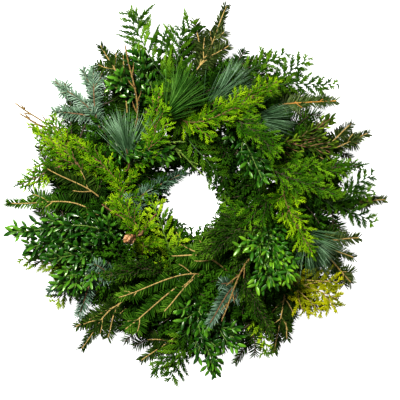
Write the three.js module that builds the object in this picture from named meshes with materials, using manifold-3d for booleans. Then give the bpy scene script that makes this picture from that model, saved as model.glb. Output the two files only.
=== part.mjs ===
// A fresh mixed-evergreen wreath, 24 inches from tip to tip, lying on its back.
//
// A welded wire ring with two rails carries fifteen clamps. Each clamp grips the cut stems of up to
// four sprays: fir, silver fir, white pine, cedar, cypress, juniper, boxwood or a bare twig. The
// sprays lead round the ring and splay outwards and inwards, so that each bunch covers the stems of
// the next. Every spray is one solid: its stem with its needles, leaves or frond blades fused to it.
//
// Millimetres, +Z up. The wreath's front faces +Z and its back rests on z = 0.

import * as THREE from "three";
import { mergeVertices } from "three/addons/utils/BufferGeometryUtils.js";
import Module from "manifold-3d";

const wasm = await Module();
wasm.setup();

// ---- driving dimensions ----

// The ring: two rails of round wire joined by the clamps.
const RING_RADIUS = 152;
const RAIL_SPREAD = 26;
const RAIL_RADIUS = 2.1;
const RAIL_STEPS = 30;
const CLAMPS = 15;
const CLAMP_WIRE = 2.4;
const SLOTS = 4;
const SLOT_PITCH = 5.1;
const STEM_RADIUS = 2.2;

// The mass of foliage: a dome over the ring.
const DOME_HEIGHT = 84;
const CREST_RADIUS = 160;
const OUTER_REACH = 190;
const INNER_REACH = 135;
const FOLIAGE_FLOOR = 13;

// A stem leaves its clamp this steeply at least, and this much more steeply at the front.
const RISE = { start: 8, least: 0.25, more: 0.65 };

// The control handles of a stem's bend, as a share of its span.
const HANDLE = 0.38;

// Clearances: to the other sprays, within a spray, and to the surface below.
const GAP = 0.35;
const OWN_GAP = 0.12;
const FLOOR_GAP = 1;

// Foliage. A collar is the short stretch of stem that a whorl or a pair of leaves grows from. It
// starts this share of the way from the clamp to the fork.
const LEAFY_FROM = 0.4;
const STATION_STEP = 30;
const COLLAR = 1.9;
const ROOT_WIDTH = 1.6;
const NEEDLE = { length: 22, open: 58, pitch: 28, tip: 30 };
const PINE_NEEDLE = { length: 88, open: 25, pitch: 6, whorls: 6 };
const BUD = { length: 6, open: 30, pitch: 40 };
const LEAF = { length: 26, width: 16, open: 50, pitch: 38, thick: 1.1 };
const PLUME = { length: 42, width: 18, open: 44, pitch: 38, twist: 34, thick: 1.1 };
const FROND = {
  pitch: 26, open: 42, breadth: 48, lobe: 3.2, tooth: 3, tip: 5, rib: 1.4, arch: 0.0035, thick: 1.3,
};
const CONE = { spray: "cone_cypress", limb: 1, length: 21, radius: 8.7, scales: 5 };

// ---- the sprays ----
// name, kind, clamp (counter-clockwise from +X), slot (0 is the inner one), level (0 is the back and
// 1 the front of the dome), [angle, radius] where the foliage starts, and of each tip.
const SPRAYS = [
  ["juniper_inner_low", "juniper", 0, 0, 0.85, [343, 104], [[274, 60], [277, 82]]],
  ["boxwood_right_low", "boxwood", 0, 1, 0.95, [338, 130], [[322, 190], [312, 170]]],
  ["white_pine_right_low", "pine", 0, 2, 0.75, [345, 178], [[332, 257]]],
  ["noble_fir_right_low", "fir", 0, 3, 0.35, [343, 194], [[341, 267], [348, 267]]],
  ["cypress_inner_right", "cypress", 1, 0, 0.7, [358, 106], [[339, 56]]],
  ["lime_cypress_right_low", "cypress", 1, 1, 1.0, [0, 144], [[337, 199]]],
  ["cedar_right", "cedar", 1, 2, 0.5, [1, 206], [[4, 282], [354, 286]]],
  ["noble_fir_right", "fir", 1, 3, 0.3, [1, 206], [[1, 304]]],
  ["green_cypress_right_low", "cypress", 2, 0, 0.9, [33, 126], [[3, 223]]],
  ["juniper_right_rim", "juniper", 2, 1, 0.6, [19, 176], [[13, 269]]],
  ["olive_boxwood", "boxwood", 2, 2, 0.7, [32, 178], [[32, 252], [22, 228]]],
  ["noble_fir_right_upper", "fir", 2, 3, 0.45, [23, 213], [[22, 297], [27, 279]]],
  ["boxwood_inner_right", "boxwood", 3, 0, 0.9, [60, 135], [[20, 112]]],
  ["white_pine_right", "pine", 3, 1, 0.8, [60, 156], [[37, 228]]],
  ["cedar_top_left", "cedar", 3, 2, 0.45, [98, 175], [[110, 322], [94, 290]]],
  ["bronze_fir", "fir", 3, 3, 0.35, [47, 217], [[36, 278]]],
  ["green_cypress_right", "cypress", 4, 0, 1.0, [63, 146], [[31, 151]]],
  ["white_pine_top_right", "pine", 4, 1, 0.6, [85, 151], [[70, 262]]],
  ["cedar_top_right", "cedar", 4, 2, 0.35, [59, 218], [[40, 296], [52, 293]]],
  ["cedar_top", "cedar", 4, 3, 0.3, [69, 224], [[59, 279]]],
  ["cedar_inner_right", "cedar", 5, 0, 0.65, [85, 80], [[10, 56]]],
  ["yellow_cypress_top_right", "cypress", 5, 1, 0.95, [84, 130], [[56, 230]]],
  ["boxwood_top_left", "boxwood", 5, 2, 0.8, [112, 164], [[112, 256], [122, 232]]],
  ["noble_fir_top", "fir", 5, 3, 0.35, [88, 220], [[81, 320], [78, 257]]],
  ["lime_twig_inner", "twig", 6, 0, 1.0, [118, 112], [[74, 46]]],
  ["white_pine_top", "pine", 6, 1, 0.8, [106, 150], [[99, 237]]],
  ["brown_twig_top_left", "twig", 6, 2, 0.95, [126, 159], [[114, 272]]],
  ["noble_fir_top_left", "fir", 6, 3, 0.5, [123, 205], [[121, 293]]],
  ["lime_cypress_top", "cypress", 7, 0, 1.0, [130, 112], [[108, 182]]],
  ["white_pine_left", "pine", 7, 1, 0.7, [147, 142], [[131, 205]]],
  ["boxwood_inner_left", "boxwood", 7, 2, 0.95, [146, 135], [[118, 88]]],
  ["silver_fir_left", "silver", 7, 3, 0.35, [140, 205], [[139, 297], [147, 270]]],
  ["lime_cypress_left", "cypress", 8, 0, 0.85, [171, 110], [[145, 210]]],
  ["noble_fir_left_upper", "fir", 8, 1, 0.75, [180, 146], [[167, 240]]],
  ["cypress_left", "cypress", 8, 2, 0.55, [162, 195], [[155, 293], [172, 284]]],
  ["bare_twig_left", "twig", 8, 3, 0.3, [156, 213], [[151, 318], [153, 302]]],
  ["silver_fir_inner", "silver", 9, 0, 0.7, [174, 88], [[134, 56], [110, 66]]],
  ["boxwood_left", "boxwood", 9, 1, 0.7, [197, 152], [[189, 293]]],
  ["boxwood_left_low", "boxwood", 9, 2, 0.85, [210, 158], [[201, 247], [212, 245]]],
  ["noble_fir_left", "fir", 9, 3, 0.4, [185, 162], [[180, 301]]],
  ["cone_cypress", "cypress", 10, 0, 1.0, [210, 98], [[176, 125], [209, 110]]],
  ["silver_fir_left_low", "silver", 10, 1, 0.5, [216, 190], [[211, 272], [224, 258]]],
  ["cedar_left_low", "cedar", 10, 2, 0.3, [214, 196], [[200, 287], [220, 268]]],
  ["lime_cedar_inner_left", "cedar", 11, 0, 0.75, [238, 80], [[172, 72]]],
  ["juniper_left_low", "juniper", 11, 1, 0.95, [240, 123], [[219, 184]]],
  ["noble_fir_bottom_left", "fir", 11, 2, 0.4, [233, 201], [[232, 295]]],
  ["noble_fir_bottom_inner", "fir", 12, 0, 0.75, [275, 114], [[231, 192], [241, 228]]],
  ["boxwood_bottom", "boxwood", 12, 1, 0.65, [272, 174], [[277, 272], [289, 251]]],
  ["noble_fir_bottom", "fir", 12, 2, 0.35, [265, 204], [[251, 266]]],
  ["cedar_bottom", "cedar", 12, 3, 0.5, [268, 211], [[257, 276], [262, 282]]],
  ["noble_fir_inner_low", "fir", 13, 0, 0.7, [280, 85], [[228, 72]]],
  ["silver_fir_bottom", "silver", 13, 1, 0.9, [297, 144], [[277, 190]]],
  ["cedar_bottom_right", "cedar", 13, 2, 0.3, [299, 205], [[294, 271]]],
  ["juniper_bottom_right", "juniper", 14, 0, 0.85, [310, 123], [[300, 244]]],
  ["golden_twig_bottom", "twig", 14, 1, 1.05, [315, 123], [[283, 187]]],
  ["golden_cedar", "gold", 14, 2, 0.6, [322, 185], [[319, 264]]],
  ["noble_fir_bottom_right", "fir", 14, 3, 0.3, [316, 199], [[298, 269], [321, 263]]],
];

const FINISH = {
  wire: { color: 0x3f4a3c, roughness: 0.45, metalness: 0.8 },
  fir: { color: 0x1f4a1c, roughness: 0.6 },
  silver: { color: 0x6f978a, roughness: 0.7 },
  pine: { color: 0x356b38, roughness: 0.6 },
  cedar: { color: 0x3f7d17, roughness: 0.6 },
  gold: { color: 0xa9ad12, roughness: 0.6 },
  cypress: { color: 0x6aa80d, roughness: 0.6 },
  juniper: { color: 0x2b611a, roughness: 0.65 },
  boxwood: { color: 0x1f6a16, roughness: 0.3 },
  twig: { color: 0xa9803c, roughness: 0.8 },
  cone: { color: 0x9a6236, roughness: 0.75 },
};

// ---- small tools ----

const UP = new THREE.Vector3(0, 0, 1);
const radians = THREE.MathUtils.degToRad;

// A point at a clock angle and radius round the ring's centre.
function polar(angle, radius, z = 0) {
  return new THREE.Vector3(radius * Math.cos(radians(angle)), radius * Math.sin(radians(angle)), z);
}

// from + direction * length, as a new point.
function along(from, direction, length) {
  return from.clone().addScaledVector(direction, length);
}

function solidOf(geometry) {
  const bare = new THREE.BufferGeometry().setAttribute("position", geometry.getAttribute("position"));
  if (geometry.index) bare.setIndex(geometry.index);
  const merged = mergeVertices(bare, 1e-4);
  return new wasm.Manifold(
    new wasm.Mesh({
      numProp: 3,
      vertProperties: new Float32Array(merged.attributes.position.array),
      triVerts: new Uint32Array(merged.index.array),
    }),
  );
}

// A closed skin of corners and faces, seen counter-clockwise from outside.
class Skin {
  points = [];
  triangles = [];

  corner(point) {
    return this.points.push(point) - 1;
  }

  face(...corners) {
    for (let i = 2; i < corners.length; i++) {
      this.triangles.push([corners[0], corners[i - 1], corners[i]]);
    }
  }

  solid() {
    return new wasm.Manifold(
      new wasm.Mesh({
        numProp: 3,
        vertProperties: new Float32Array(this.points.flatMap((p) => [p.x, p.y, p.z])),
        triVerts: new Uint32Array(this.triangles.flat()),
      }),
    );
  }
}

function meshOf(name, solid, finish) {
  const { vertProperties, triVerts } = solid.getMesh();
  const geometry = new THREE.BufferGeometry()
    .setAttribute("position", new THREE.BufferAttribute(vertProperties, 3))
    .setIndex(new THREE.BufferAttribute(triVerts, 1));
  geometry.computeVertexNormals();
  const mesh = new THREE.Mesh(geometry, new THREE.MeshStandardMaterial(finish));
  mesh.name = name;
  return mesh;
}

// One body: the largest, where a fused twig has left a scrap beside it.
function largestBody(solid) {
  return solid.decompose().reduce((a, b) => (b.volume() > a.volume() ? b : a));
}

// ---- keeping the sprays clear of each other ----

const placed = [];

function apart(a, b) {
  return [0, 1, 2].some((i) => a.min[i] > b.max[i] + GAP || b.min[i] > a.max[i] + GAP);
}

// Whether a piece clears every other spray, and its outer part the rest of its own spray.
function isClear(owner, piece, outer) {
  const box = piece.boundingBox();
  if (box.min[2] < FLOOR_GAP) return false;
  return placed.every((other) => {
    if (apart(other.box, box)) return true;
    if (other.owner !== owner) return other.solid.minGap(piece, GAP) >= GAP;
    return !outer || other.solid.minGap(outer, OWN_GAP) >= OWN_GAP;
  });
}

function place(owner, solid) {
  placed.push({ owner, solid, box: solid.boundingBox() });
  return solid;
}

// ---- the wire ring ----

const RAIL_FLAT = RAIL_RADIUS * Math.sin(radians(60));
const CLAMP_FOOT = 2 * RAIL_FLAT - 0.4;
const STEM_Z = CLAMP_FOOT + CLAMP_WIRE + GAP + STEM_RADIUS;
const CLAMP_UNDER = STEM_Z + STEM_RADIUS + GAP;

// A rail has a six-sided section that stands on a flat side.
function rail(radius) {
  const section = [];
  for (let i = 0; i <= 6; i++) {
    const a = radians(60 * i);
    section.push(
      new THREE.Vector2(radius + RAIL_RADIUS * Math.cos(a), RAIL_FLAT + RAIL_RADIUS * Math.sin(a)),
    );
  }
  return solidOf(new THREE.LatheGeometry(section, RAIL_STEPS).rotateX(Math.PI / 2));
}

// A clamp is a staple welded on top of both rails and bent shut over the stems.
function clamp(angle) {
  const wide = RAIL_SPREAD / 2 + RAIL_RADIUS * 0.45;
  const rectangle = (half, low, high) => [
    new THREE.Vector2(-half, low),
    new THREE.Vector2(half, low),
    new THREE.Vector2(half, high),
    new THREE.Vector2(-half, high),
  ];
  const outline = new THREE.Shape(rectangle(wide, CLAMP_FOOT, CLAMP_UNDER + CLAMP_WIRE));
  outline.holes.push(new THREE.Path(rectangle(wide - CLAMP_WIRE, CLAMP_FOOT + CLAMP_WIRE, CLAMP_UNDER)));
  return solidOf(
    new THREE.ExtrudeGeometry(outline, { depth: CLAMP_WIRE, bevelEnabled: false })
      .translate(0, 0, -CLAMP_WIRE / 2)
      .rotateX(Math.PI / 2)
      .translate(RING_RADIUS, 0, 0)
      .rotateZ(radians(angle)),
  );
}

function wireRing() {
  const clamps = Array.from({ length: CLAMPS }, (_, k) => clamp((360 / CLAMPS) * k));
  return wasm.Manifold.union([
    rail(RING_RADIUS - RAIL_SPREAD / 2),
    rail(RING_RADIUS + RAIL_SPREAD / 2),
    ...clamps,
  ]);
}

// ---- the shape of a spray ----

function dome(radius) {
  const reach = radius > CREST_RADIUS ? OUTER_REACH : INNER_REACH;
  return DOME_HEIGHT * Math.sqrt(Math.max(0.08, 1 - ((radius - CREST_RADIUS) / reach) ** 2));
}

// A point over [angle, radius] at the spray's level, no steeper above the point that it comes from
// than a stem at that level rises.
function rise(from, [angle, radius], level) {
  const flat = polar(angle, radius);
  const run = Math.hypot(flat.x - from.x, flat.y - from.y);
  const highest = from.z + RISE.start + (RISE.least + RISE.more * level) * run;
  flat.z = Math.min(FOLIAGE_FLOOR + level * dome(radius), highest);
  return flat;
}

function bend(from, heading, to, arriving) {
  const reach = from.distanceTo(to) * HANDLE;
  return new THREE.CubicBezierCurve3(
    from,
    along(from, heading, reach),
    along(to, arriving, -reach),
    to,
  );
}

// The stem runs straight through its clamp, then bends up to the fork, and each limb runs on from
// there to its tip.
function sprayCurves([name, kind, clampIndex, slot, level, start, tips]) {
  const angle = (360 / CLAMPS) * clampIndex;
  const seat = polar(angle, RING_RADIUS + (slot - (SLOTS - 1) / 2) * SLOT_PITCH, STEM_Z);
  const turn = ((tips[0][0] - angle + 540) % 360) - 180 > 0 ? 1 : -1;
  const heading = polar(angle + 90 * turn, 1);
  const leave = along(seat, heading, 5);
  const fork = rise(leave, start, level);
  const ends = tips.map((tip) => rise(fork, tip, level));
  const climbing = fork.clone().sub(leave).normalize();
  const arriving = ends[0].clone().sub(fork).normalize().lerp(climbing, 0.5).normalize();
  const limbs = ends.map((end, i) => {
    const aim = end.clone().sub(fork).normalize();
    const leading = i === 0 ? arriving : aim.clone().lerp(arriving, 0.4).normalize();
    return bend(fork, leading, end, aim);
  });
  const butt = new THREE.LineCurve3(along(seat, heading, -7), leave);
  return { name, kind, butt, stem: bend(leave, heading, fork, arriving), limbs };
}

// Along, across and up at a share of the way along a curve.
function axesAt(curve, share) {
  const t = curve.getTangentAt(Math.min(share, 1));
  const across = new THREE.Vector3().crossVectors(UP, t).normalize();
  const up = new THREE.Vector3().crossVectors(t, across);
  return { at: curve.getPointAt(Math.min(share, 1)), t, across, up };
}

// A direction that leaves the axis at an angle, turned round it by a roll (0 is across, 90 is up).
function leaning({ t, across, up }, open, roll) {
  return t
    .clone()
    .multiplyScalar(Math.cos(radians(open)))
    .addScaledVector(across, Math.sin(radians(open)) * Math.cos(radians(roll)))
    .addScaledVector(up, Math.sin(radians(open)) * Math.sin(radians(roll)));
}

// Bare stations along a curve from its start to a share of it, without the last.
function stationsAlong(curve, radiusAt, until = 1, step = STATION_STEP) {
  const count = Math.max(1, Math.round((curve.getLength() * until) / step));
  return Array.from({ length: count }, (_, i) => {
    const share = (until * i) / count;
    return { axes: axesAt(curve, share), radius: radiusAt(share), twist: 0 };
  });
}

// A pair of stations for each collar along a curve, from a share of it onwards.
function collarsAlong(curve, { pitch, twistStep }, radiusAt, from = 0, before = 0) {
  const length = curve.getLength();
  const count = Math.max(1, Math.round((length * (1 - from)) / pitch));
  return Array.from({ length: count }, (_, k) => {
    const share = from + ((1 - from) * (k + 0.5)) / count;
    const order = before + k;
    const shape = { radius: radiusAt(share), twist: order * twistStep };
    return [
      { axes: axesAt(curve, share), ...shape },
      { axes: axesAt(curve, share + COLLAR / length), ...shape, growing: { share, order } },
    ];
  }).flat();
}

function stationAt(curve, share, radius) {
  return { axes: axesAt(curve, share), radius, twist: 0 };
}

// A tube through stations. Each face of a collar may grow into a leaf, so that a stem and its
// leaves are one skin.
function shoot({ stations, sides, growLeaf = () => false }) {
  const skin = new Skin();
  const rings = stations.map(({ axes, radius, twist }) =>
    Array.from({ length: sides }, (_, s) =>
      skin.corner(along(axes.at, leaning(axes, 90, twist + (360 / sides) * (s - 0.5)), radius)),
    ),
  );
  skin.face(...[...rings[0]].reverse());
  for (let i = 1; i < rings.length; i++) {
    for (let s = 0; s < sides; s++) {
      const next = (s + 1) % sides;
      const corners = [rings[i - 1][s], rings[i - 1][next], rings[i][next], rings[i][s]];
      const { growing, axes, twist } = stations[i];
      const grown = growing && growLeaf(skin, corners, axes, twist + (360 / sides) * s, growing);
      if (!grown) skin.face(...corners);
    }
  }
  skin.face(...rings.at(-1));
  return skin.solid();
}

// ---- needles and leaves ----

// The turns that a leaf tries, until it clears what is there already.
const TURNS = [0, 14, -14, 28, -28, 42, -42];

function middleOf(skin, corners) {
  return corners.reduce((sum, c) => sum.add(skin.points[c]), new THREE.Vector3()).divideScalar(4);
}

function needleFaces(skin, corners, tip) {
  const apex = skin.corner(tip);
  corners.forEach((corner, i) => skin.face(corner, corners[(i + 1) % 4], apex));
}

// A needle alone, closed at its root. A share of it next to the stem may be left off.
function loneNeedle(skin, corners, tip, cut = 0) {
  const lone = new Skin();
  const root = corners.map((c) => lone.corner(skin.points[c].clone().lerp(tip, cut)));
  lone.face(...[...root].reverse());
  needleFaces(lone, root, tip);
  return lone.solid();
}

function growNeedle(owner, lengthOf, openOf) {
  return (skin, corners, axes, roll, growing) => {
    const root = middleOf(skin, corners);
    for (const turn of TURNS) {
      const tip = along(root, leaning(axes, openOf(growing), roll + turn), lengthOf(growing));
      const alone = loneNeedle(skin, corners, tip);
      if (isClear(owner, alone, loneNeedle(skin, corners, tip, 0.2))) {
        place(owner, alone);
        needleFaces(skin, corners, tip);
        return true;
      }
    }
    return false;
  };
}

// The faces of a blade between two root edges. Its outline runs from one root corner round the tip
// to the other, and both sides are split into the same triangles.
function bladeFaces(skin, [frontStart, frontEnd, backStart, backEnd], outline, laidOn) {
  const flat = [[0, -ROOT_WIDTH / 2], ...outline, [0, ROOT_WIDTH / 2]];
  const faces = THREE.ShapeUtils.triangulateShape(flat.map(([q, w]) => new THREE.Vector2(q, w)), []);
  const front = [frontStart, ...outline.map(([q, w]) => skin.corner(laidOn(q, w, 1))), frontEnd];
  const back = [backStart, ...outline.map(([q, w]) => skin.corner(laidOn(q, w, -1))), backEnd];
  for (const [a, b, c] of faces) {
    skin.face(front[a], front[b], front[c]);
    skin.face(back[a], back[c], back[b]);
  }
  for (let i = 1; i < front.length; i++) {
    skin.face(back[i - 1], back[i], front[i], front[i - 1]);
  }
}

// A blade alone, closed at its root.
function loneBlade(root, outline, laidOn) {
  const lone = new Skin();
  const edges = root.map((point) => lone.corner(point));
  lone.face(edges[0], edges[1], edges[3], edges[2]);
  bladeFaces(lone, edges, outline, laidOn);
  return lone.solid();
}

// A blade on a collar's face. A leaf of boxwood faces along its stem, and a plume lies beside it.
function growBlade(owner, { outlineOf, open, thick, fold, facesTip, chosen }) {
  return (skin, corners, axes, roll, growing) => {
    if (!chosen(roll, growing)) return false;
    const root = middleOf(skin, corners);
    const outline = outlineOf(growing);
    const [a, b, c, d] = corners;
    const edges = facesTip ? [d, c, a, b] : [a, d, b, c];
    for (const turn of TURNS) {
      const direction = leaning(axes, growing.last ? open * 0.5 : open, roll + turn);
      const side = facesTip ? leaning(axes, 90, roll + turn + 90) : axes.t;
      const facing = new THREE.Vector3().crossVectors(direction, side).normalize();
      const wide = new THREE.Vector3().crossVectors(facing, direction);
      const laidOn = (q, w, face) =>
        along(
          along(along(root, direction, q), wide, w),
          facing,
          (face * thick) / 2 + fold * Math.abs(w),
        );
      const alone = loneBlade(edges.map((corner) => skin.points[corner]), outline, laidOn);
      const outerRoot = [[-1, 1], [1, 1], [-1, -1], [1, -1]].map(([end, face]) =>
        laidOn(3, (end * ROOT_WIDTH) / 2, face),
      );
      if (isClear(owner, alone, loneBlade(outerRoot, outline, laidOn))) {
        place(owner, alone);
        bladeFaces(skin, edges, outline, laidOn);
        return true;
      }
    }
    return false;
  };
}

function plumeOutline({ share, last }) {
  const l = PLUME.length * (last ? 0.7 : 1 - 0.3 * share);
  const w = (PLUME.width / 2) * (1 - 0.2 * share);
  return [
    [0.34 * l, -w], [0.44 * l, -0.35 * w], [0.7 * l, -0.65 * w], [l, 0],
    [0.7 * l, 0.65 * w], [0.44 * l, 0.35 * w], [0.34 * l, w],
  ];
}

function leafOutline({ share }) {
  const l = LEAF.length * (1 - 0.25 * share);
  const w = (LEAF.width / 2) * (1 - 0.2 * share);
  return [[0.38 * l, -w], [0.82 * l, -0.7 * w], [l, 0], [0.82 * l, 0.7 * w], [0.38 * l, w]];
}

// ---- fronds ----

// The triangles of an outline, as places in it.
function trianglesOf(outline) {
  return THREE.ShapeUtils.triangulateShape(outline.map(([s, v]) => new THREE.Vector2(s, v)), []);
}

// A closed blade laid on a curve. Its outline runs counter-clockwise.
function cutBlade(outline, laidOn, triangles = trianglesOf(outline)) {
  const skin = new Skin();
  const front = outline.map(([s, v]) => skin.corner(laidOn(s, v, 1)));
  const back = outline.map(([s, v]) => skin.corner(laidOn(s, v, -1)));
  for (const [a, b, c] of triangles) {
    skin.face(front[a], front[b], front[c]);
    skin.face(back[a], back[c], back[b]);
  }
  front.forEach((_, i) => {
    const next = (i + 1) % front.length;
    skin.face(back[i], back[next], front[next], front[i]);
  });
  return skin.solid();
}

// The triangles of a rib between its two rows of places in an outline, both in order along it.
function ribTriangles(outline, right, left) {
  const triangles = [];
  const row = [right, left].map((places) => [...places]);
  while (row[0].length > 1 || row[1].length > 1) {
    const [nextRight, nextLeft] = row.map((places) => outline[places[1]]?.[0] ?? Infinity);
    if (nextRight <= nextLeft) {
      triangles.push([row[0][0], row[0][1], row[1][0]]);
      row[0].shift();
    } else {
      triangles.push([row[0][0], row[1][1], row[1][0]]);
      row[1].shift();
    }
  }
  return triangles;
}

// A flat frond: toothed lobes cut to the rib along both sides of a curve, each lobe kept where it
// is clear, and all of them one arched blade.
function frond(owner, curve, breadth, rootedAt) {
  const length = curve.getLength();
  const count = Math.max(3, Math.round(length / FROND.pitch));
  const lean = radians(FROND.open);
  const laidOn = (s, v, face) => {
    const within = THREE.MathUtils.clamp(s, 0, length);
    const axes = axesAt(curve, within / length);
    const sag = FROND.arch * v * v;
    const lift = (face * FROND.thick) / 2 - sag;
    return along(along(along(axes.at, axes.t, s - within), axes.across, v), axes.up, lift);
  };
  const edgeOf = (side) => {
    const edge = [];
    for (let i = 0; i < count; i++) {
      const share = (i + 0.5) / count;
      const reach = Math.max(9, breadth * Math.sin(Math.PI * (0.22 + 0.7 * share)) ** 0.8);
      const root = length * (share - (side > 0 ? 0.2 : 0) / count) - 3;
      const point = (q, w) => [
        root + q * Math.cos(lean) - w * Math.sin(lean),
        side * (FROND.rib + q * Math.sin(lean) + w * Math.cos(lean)),
      ];
      const lobe = [
        point(reach * 0.62, FROND.lobe + FROND.tooth),
        point(reach, 0),
        point(reach * 0.7, -FROND.lobe - FROND.tooth * 0.6),
      ];
      const roots = [root - FROND.lobe, root + FROND.lobe * 1.6].map((s) => [s, side * FROND.rib]);
      const ordered = (outline) => (side < 0 ? outline : [...outline].reverse());
      const alone = cutBlade(ordered([roots[0], ...lobe, roots[1]]), laidOn);
      const outer = cutBlade(ordered([point(5, 1.5), ...lobe, point(5, -1.5)]), laidOn);
      const clear = isClear(owner, alone, outer);
      if (clear) place(owner, alone);
      edge.push(...(clear ? [roots[0], ...lobe, roots[1]] : [roots[0]]));
    }
    return edge;
  };
  const rib = FROND.rib;
  const outline = [
    [rootedAt, -rib],
    ...edgeOf(-1),
    [length, -rib],
    [length + FROND.tip, 0],
    [length, rib],
    ...edgeOf(1).reverse(),
    [rootedAt, rib],
  ];
  const places = outline.map((_, i) => i);
  const right = places.filter((i) => outline[i][1] === -rib);
  const left = places.filter((i) => outline[i][1] === rib).reverse();
  const tip = [right.at(-1), right.at(-1) + 1, left.at(-1)];
  const lobes = [right, [...left].reverse()].flatMap((row) =>
    row.slice(1).flatMap((end, k) => {
      const lobe = places.slice(row[k], end + 1);
      const triangles = lobe.length < 3 ? [] : trianglesOf(lobe.map((i) => outline[i]));
      return triangles.map((triangle) => triangle.map((j) => lobe[j]));
    }),
  );
  return cutBlade(outline, laidOn, [...ribTriangles(outline, right, left), tip, ...lobes]);
}

// ---- the kinds of spray ----

const everySecond = (roll) => Math.round(roll / 90) % 2 === 0;

const NEEDLED = {
  sides: 5,
  pitch: NEEDLE.pitch,
  twistStep: 36,
  growerFor: (owner) =>
    growNeedle(
      owner,
      ({ share }) => NEEDLE.length * (1 - 0.2 * share),
      ({ last, order }) => (last ? NEEDLE.tip : NEEDLE.open - 6 * (order % 2)),
    ),
};
const BRUSH = {
  sides: 5,
  pitch: PINE_NEEDLE.pitch,
  twistStep: 24,
  growerFor: (owner) =>
    growNeedle(
      owner,
      ({ order }) => PINE_NEEDLE.length * (1 - 0.06 * (order % 2)),
      ({ order }) => PINE_NEEDLE.open * (1 - order / (PINE_NEEDLE.whorls + 1)),
    ),
};
const BUDDED = {
  sides: 4,
  pitch: BUD.pitch,
  twistStep: 0,
  growerFor: (owner) => {
    const growBud = growNeedle(owner, () => BUD.length, () => BUD.open);
    return (skin, corners, axes, roll, growing) =>
      everySecond(roll - 90 * growing.order) && growBud(skin, corners, axes, roll, growing);
  },
};
const LEAFY = {
  sides: 4,
  pitch: LEAF.pitch,
  twistStep: 0,
  growerFor: (owner) =>
    growBlade(owner, {
      outlineOf: leafOutline,
      open: LEAF.open,
      thick: LEAF.thick,
      fold: 0.2,
      facesTip: true,
      chosen: (roll, { order }) => everySecond(roll - 90 * order),
    }),
};
const FEATHERY = {
  sides: 4,
  pitch: PLUME.pitch,
  twistStep: PLUME.twist,
  growerFor: (owner) =>
    growBlade(owner, {
      outlineOf: plumeOutline,
      open: PLUME.open,
      thick: PLUME.thick,
      fold: 0,
      facesTip: false,
      chosen: (roll, { order }) => everySecond(roll - PLUME.twist * order),
    }),
};
const KINDS = {
  fir: NEEDLED,
  silver: NEEDLED,
  pine: BRUSH,
  cypress: FEATHERY,
  juniper: FEATHERY,
  boxwood: LEAFY,
  twig: BUDDED,
};
const FROND_BREADTHS = { cedar: FROND.breadth, gold: FROND.breadth * 1.15 };

// ---- a whole spray ----

const stemRadius = (share) => STEM_RADIUS - 0.4 * share;
const limbRadius = (share) => 1.8 - 0.6 * share;

// The shoots of a spray, each with its stations, its number of sides and what its collars grow.
// The first runs from the butt to the first tip, and the others leave it at the fork.
function shootsOf({ name, kind, butt, stem, limbs }) {
  const seated = stationsAlong(butt, () => STEM_RADIUS);
  if (kind in FROND_BREADTHS) {
    const stalk = [...seated, ...stationsAlong(stem, stemRadius, LEAFY_FROM)];
    return [{ sides: 4, stations: [...stalk, stationAt(stem, LEAFY_FROM + 0.02, 1.9)] }];
  }
  const growth = KINDS[kind];
  const { sides, growerFor } = growth;
  if (kind === "pine") {
    const reach = PINE_NEEDLE.whorls * PINE_NEEDLE.pitch;
    const brush = new THREE.LineCurve3(
      limbs[0].getPointAt(0),
      limbs[0].getPointAt(Math.min(0.6, reach / limbs[0].getLength())),
    );
    const bare = [...seated, ...stationsAlong(stem, stemRadius)];
    const stations = [...bare, ...collarsAlong(brush, growth, () => limbRadius(0))];
    return [{ sides, growLeaf: growerFor(name), stations }];
  }
  return limbs.map((limb, i) => {
    if (name === CONE.spray && i === CONE.limb) {
      return { sides: 4, stations: [...stationsAlong(limb, () => 1.5), stationAt(limb, 1, 1.4)] };
    }
    const onStem = i ? [] : collarsAlong(stem, growth, stemRadius, LEAFY_FROM);
    onStem.forEach((station) => {
      if (station.growing) station.growing.share = 0;
    });
    const onLimb = collarsAlong(limb, growth, limbRadius, 0, onStem.length / 2);
    onLimb.at(-1).growing.last = true;
    const start = i
      ? [stationAt(limb, 0, 1.6)]
      : [...seated, ...stationsAlong(stem, stemRadius, LEAFY_FROM)];
    const forked = limbs.length > 1 && !i;
    const fork = forked ? [{ ...stationAt(limb, 0, limbRadius(0)), twist: onStem.at(-1).twist }] : [];
    const tip = { ...stationAt(limb, 1, 1.1), twist: onLimb.at(-1).twist };
    const stations = [...start, ...onStem, ...fork, ...onLimb, tip];
    return { sides, growLeaf: growerFor(name), stations };
  });
}

// The curves that a spray's fronds lie on: the first starts part way up the stem.
function frondCurves({ kind, stem, limbs }) {
  if (!(kind in FROND_BREADTHS)) return [];
  const lower = [0, 0.33, 0.66].map((u) => stem.getPointAt(LEAFY_FROM + (1 - LEAFY_FROM) * u));
  const upper = [0, 0.33, 0.66, 1].map((u) => limbs[0].getPointAt(u));
  return [new THREE.CatmullRomCurve3([...lower, ...upper]), ...limbs.slice(1)];
}

// The stations of a rod a little thicker than a frond's rib, to its very tip.
function ribStations(curve) {
  const end = stationAt(curve, 1, FROND.rib);
  const beyond = along(end.axes.at, end.axes.t, FROND.tip);
  return [
    ...stationsAlong(curve, () => FROND.rib + 0.4, 1, 8),
    end,
    { ...end, axes: { ...end.axes, at: beyond }, radius: 0.5 },
  ];
}

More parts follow.
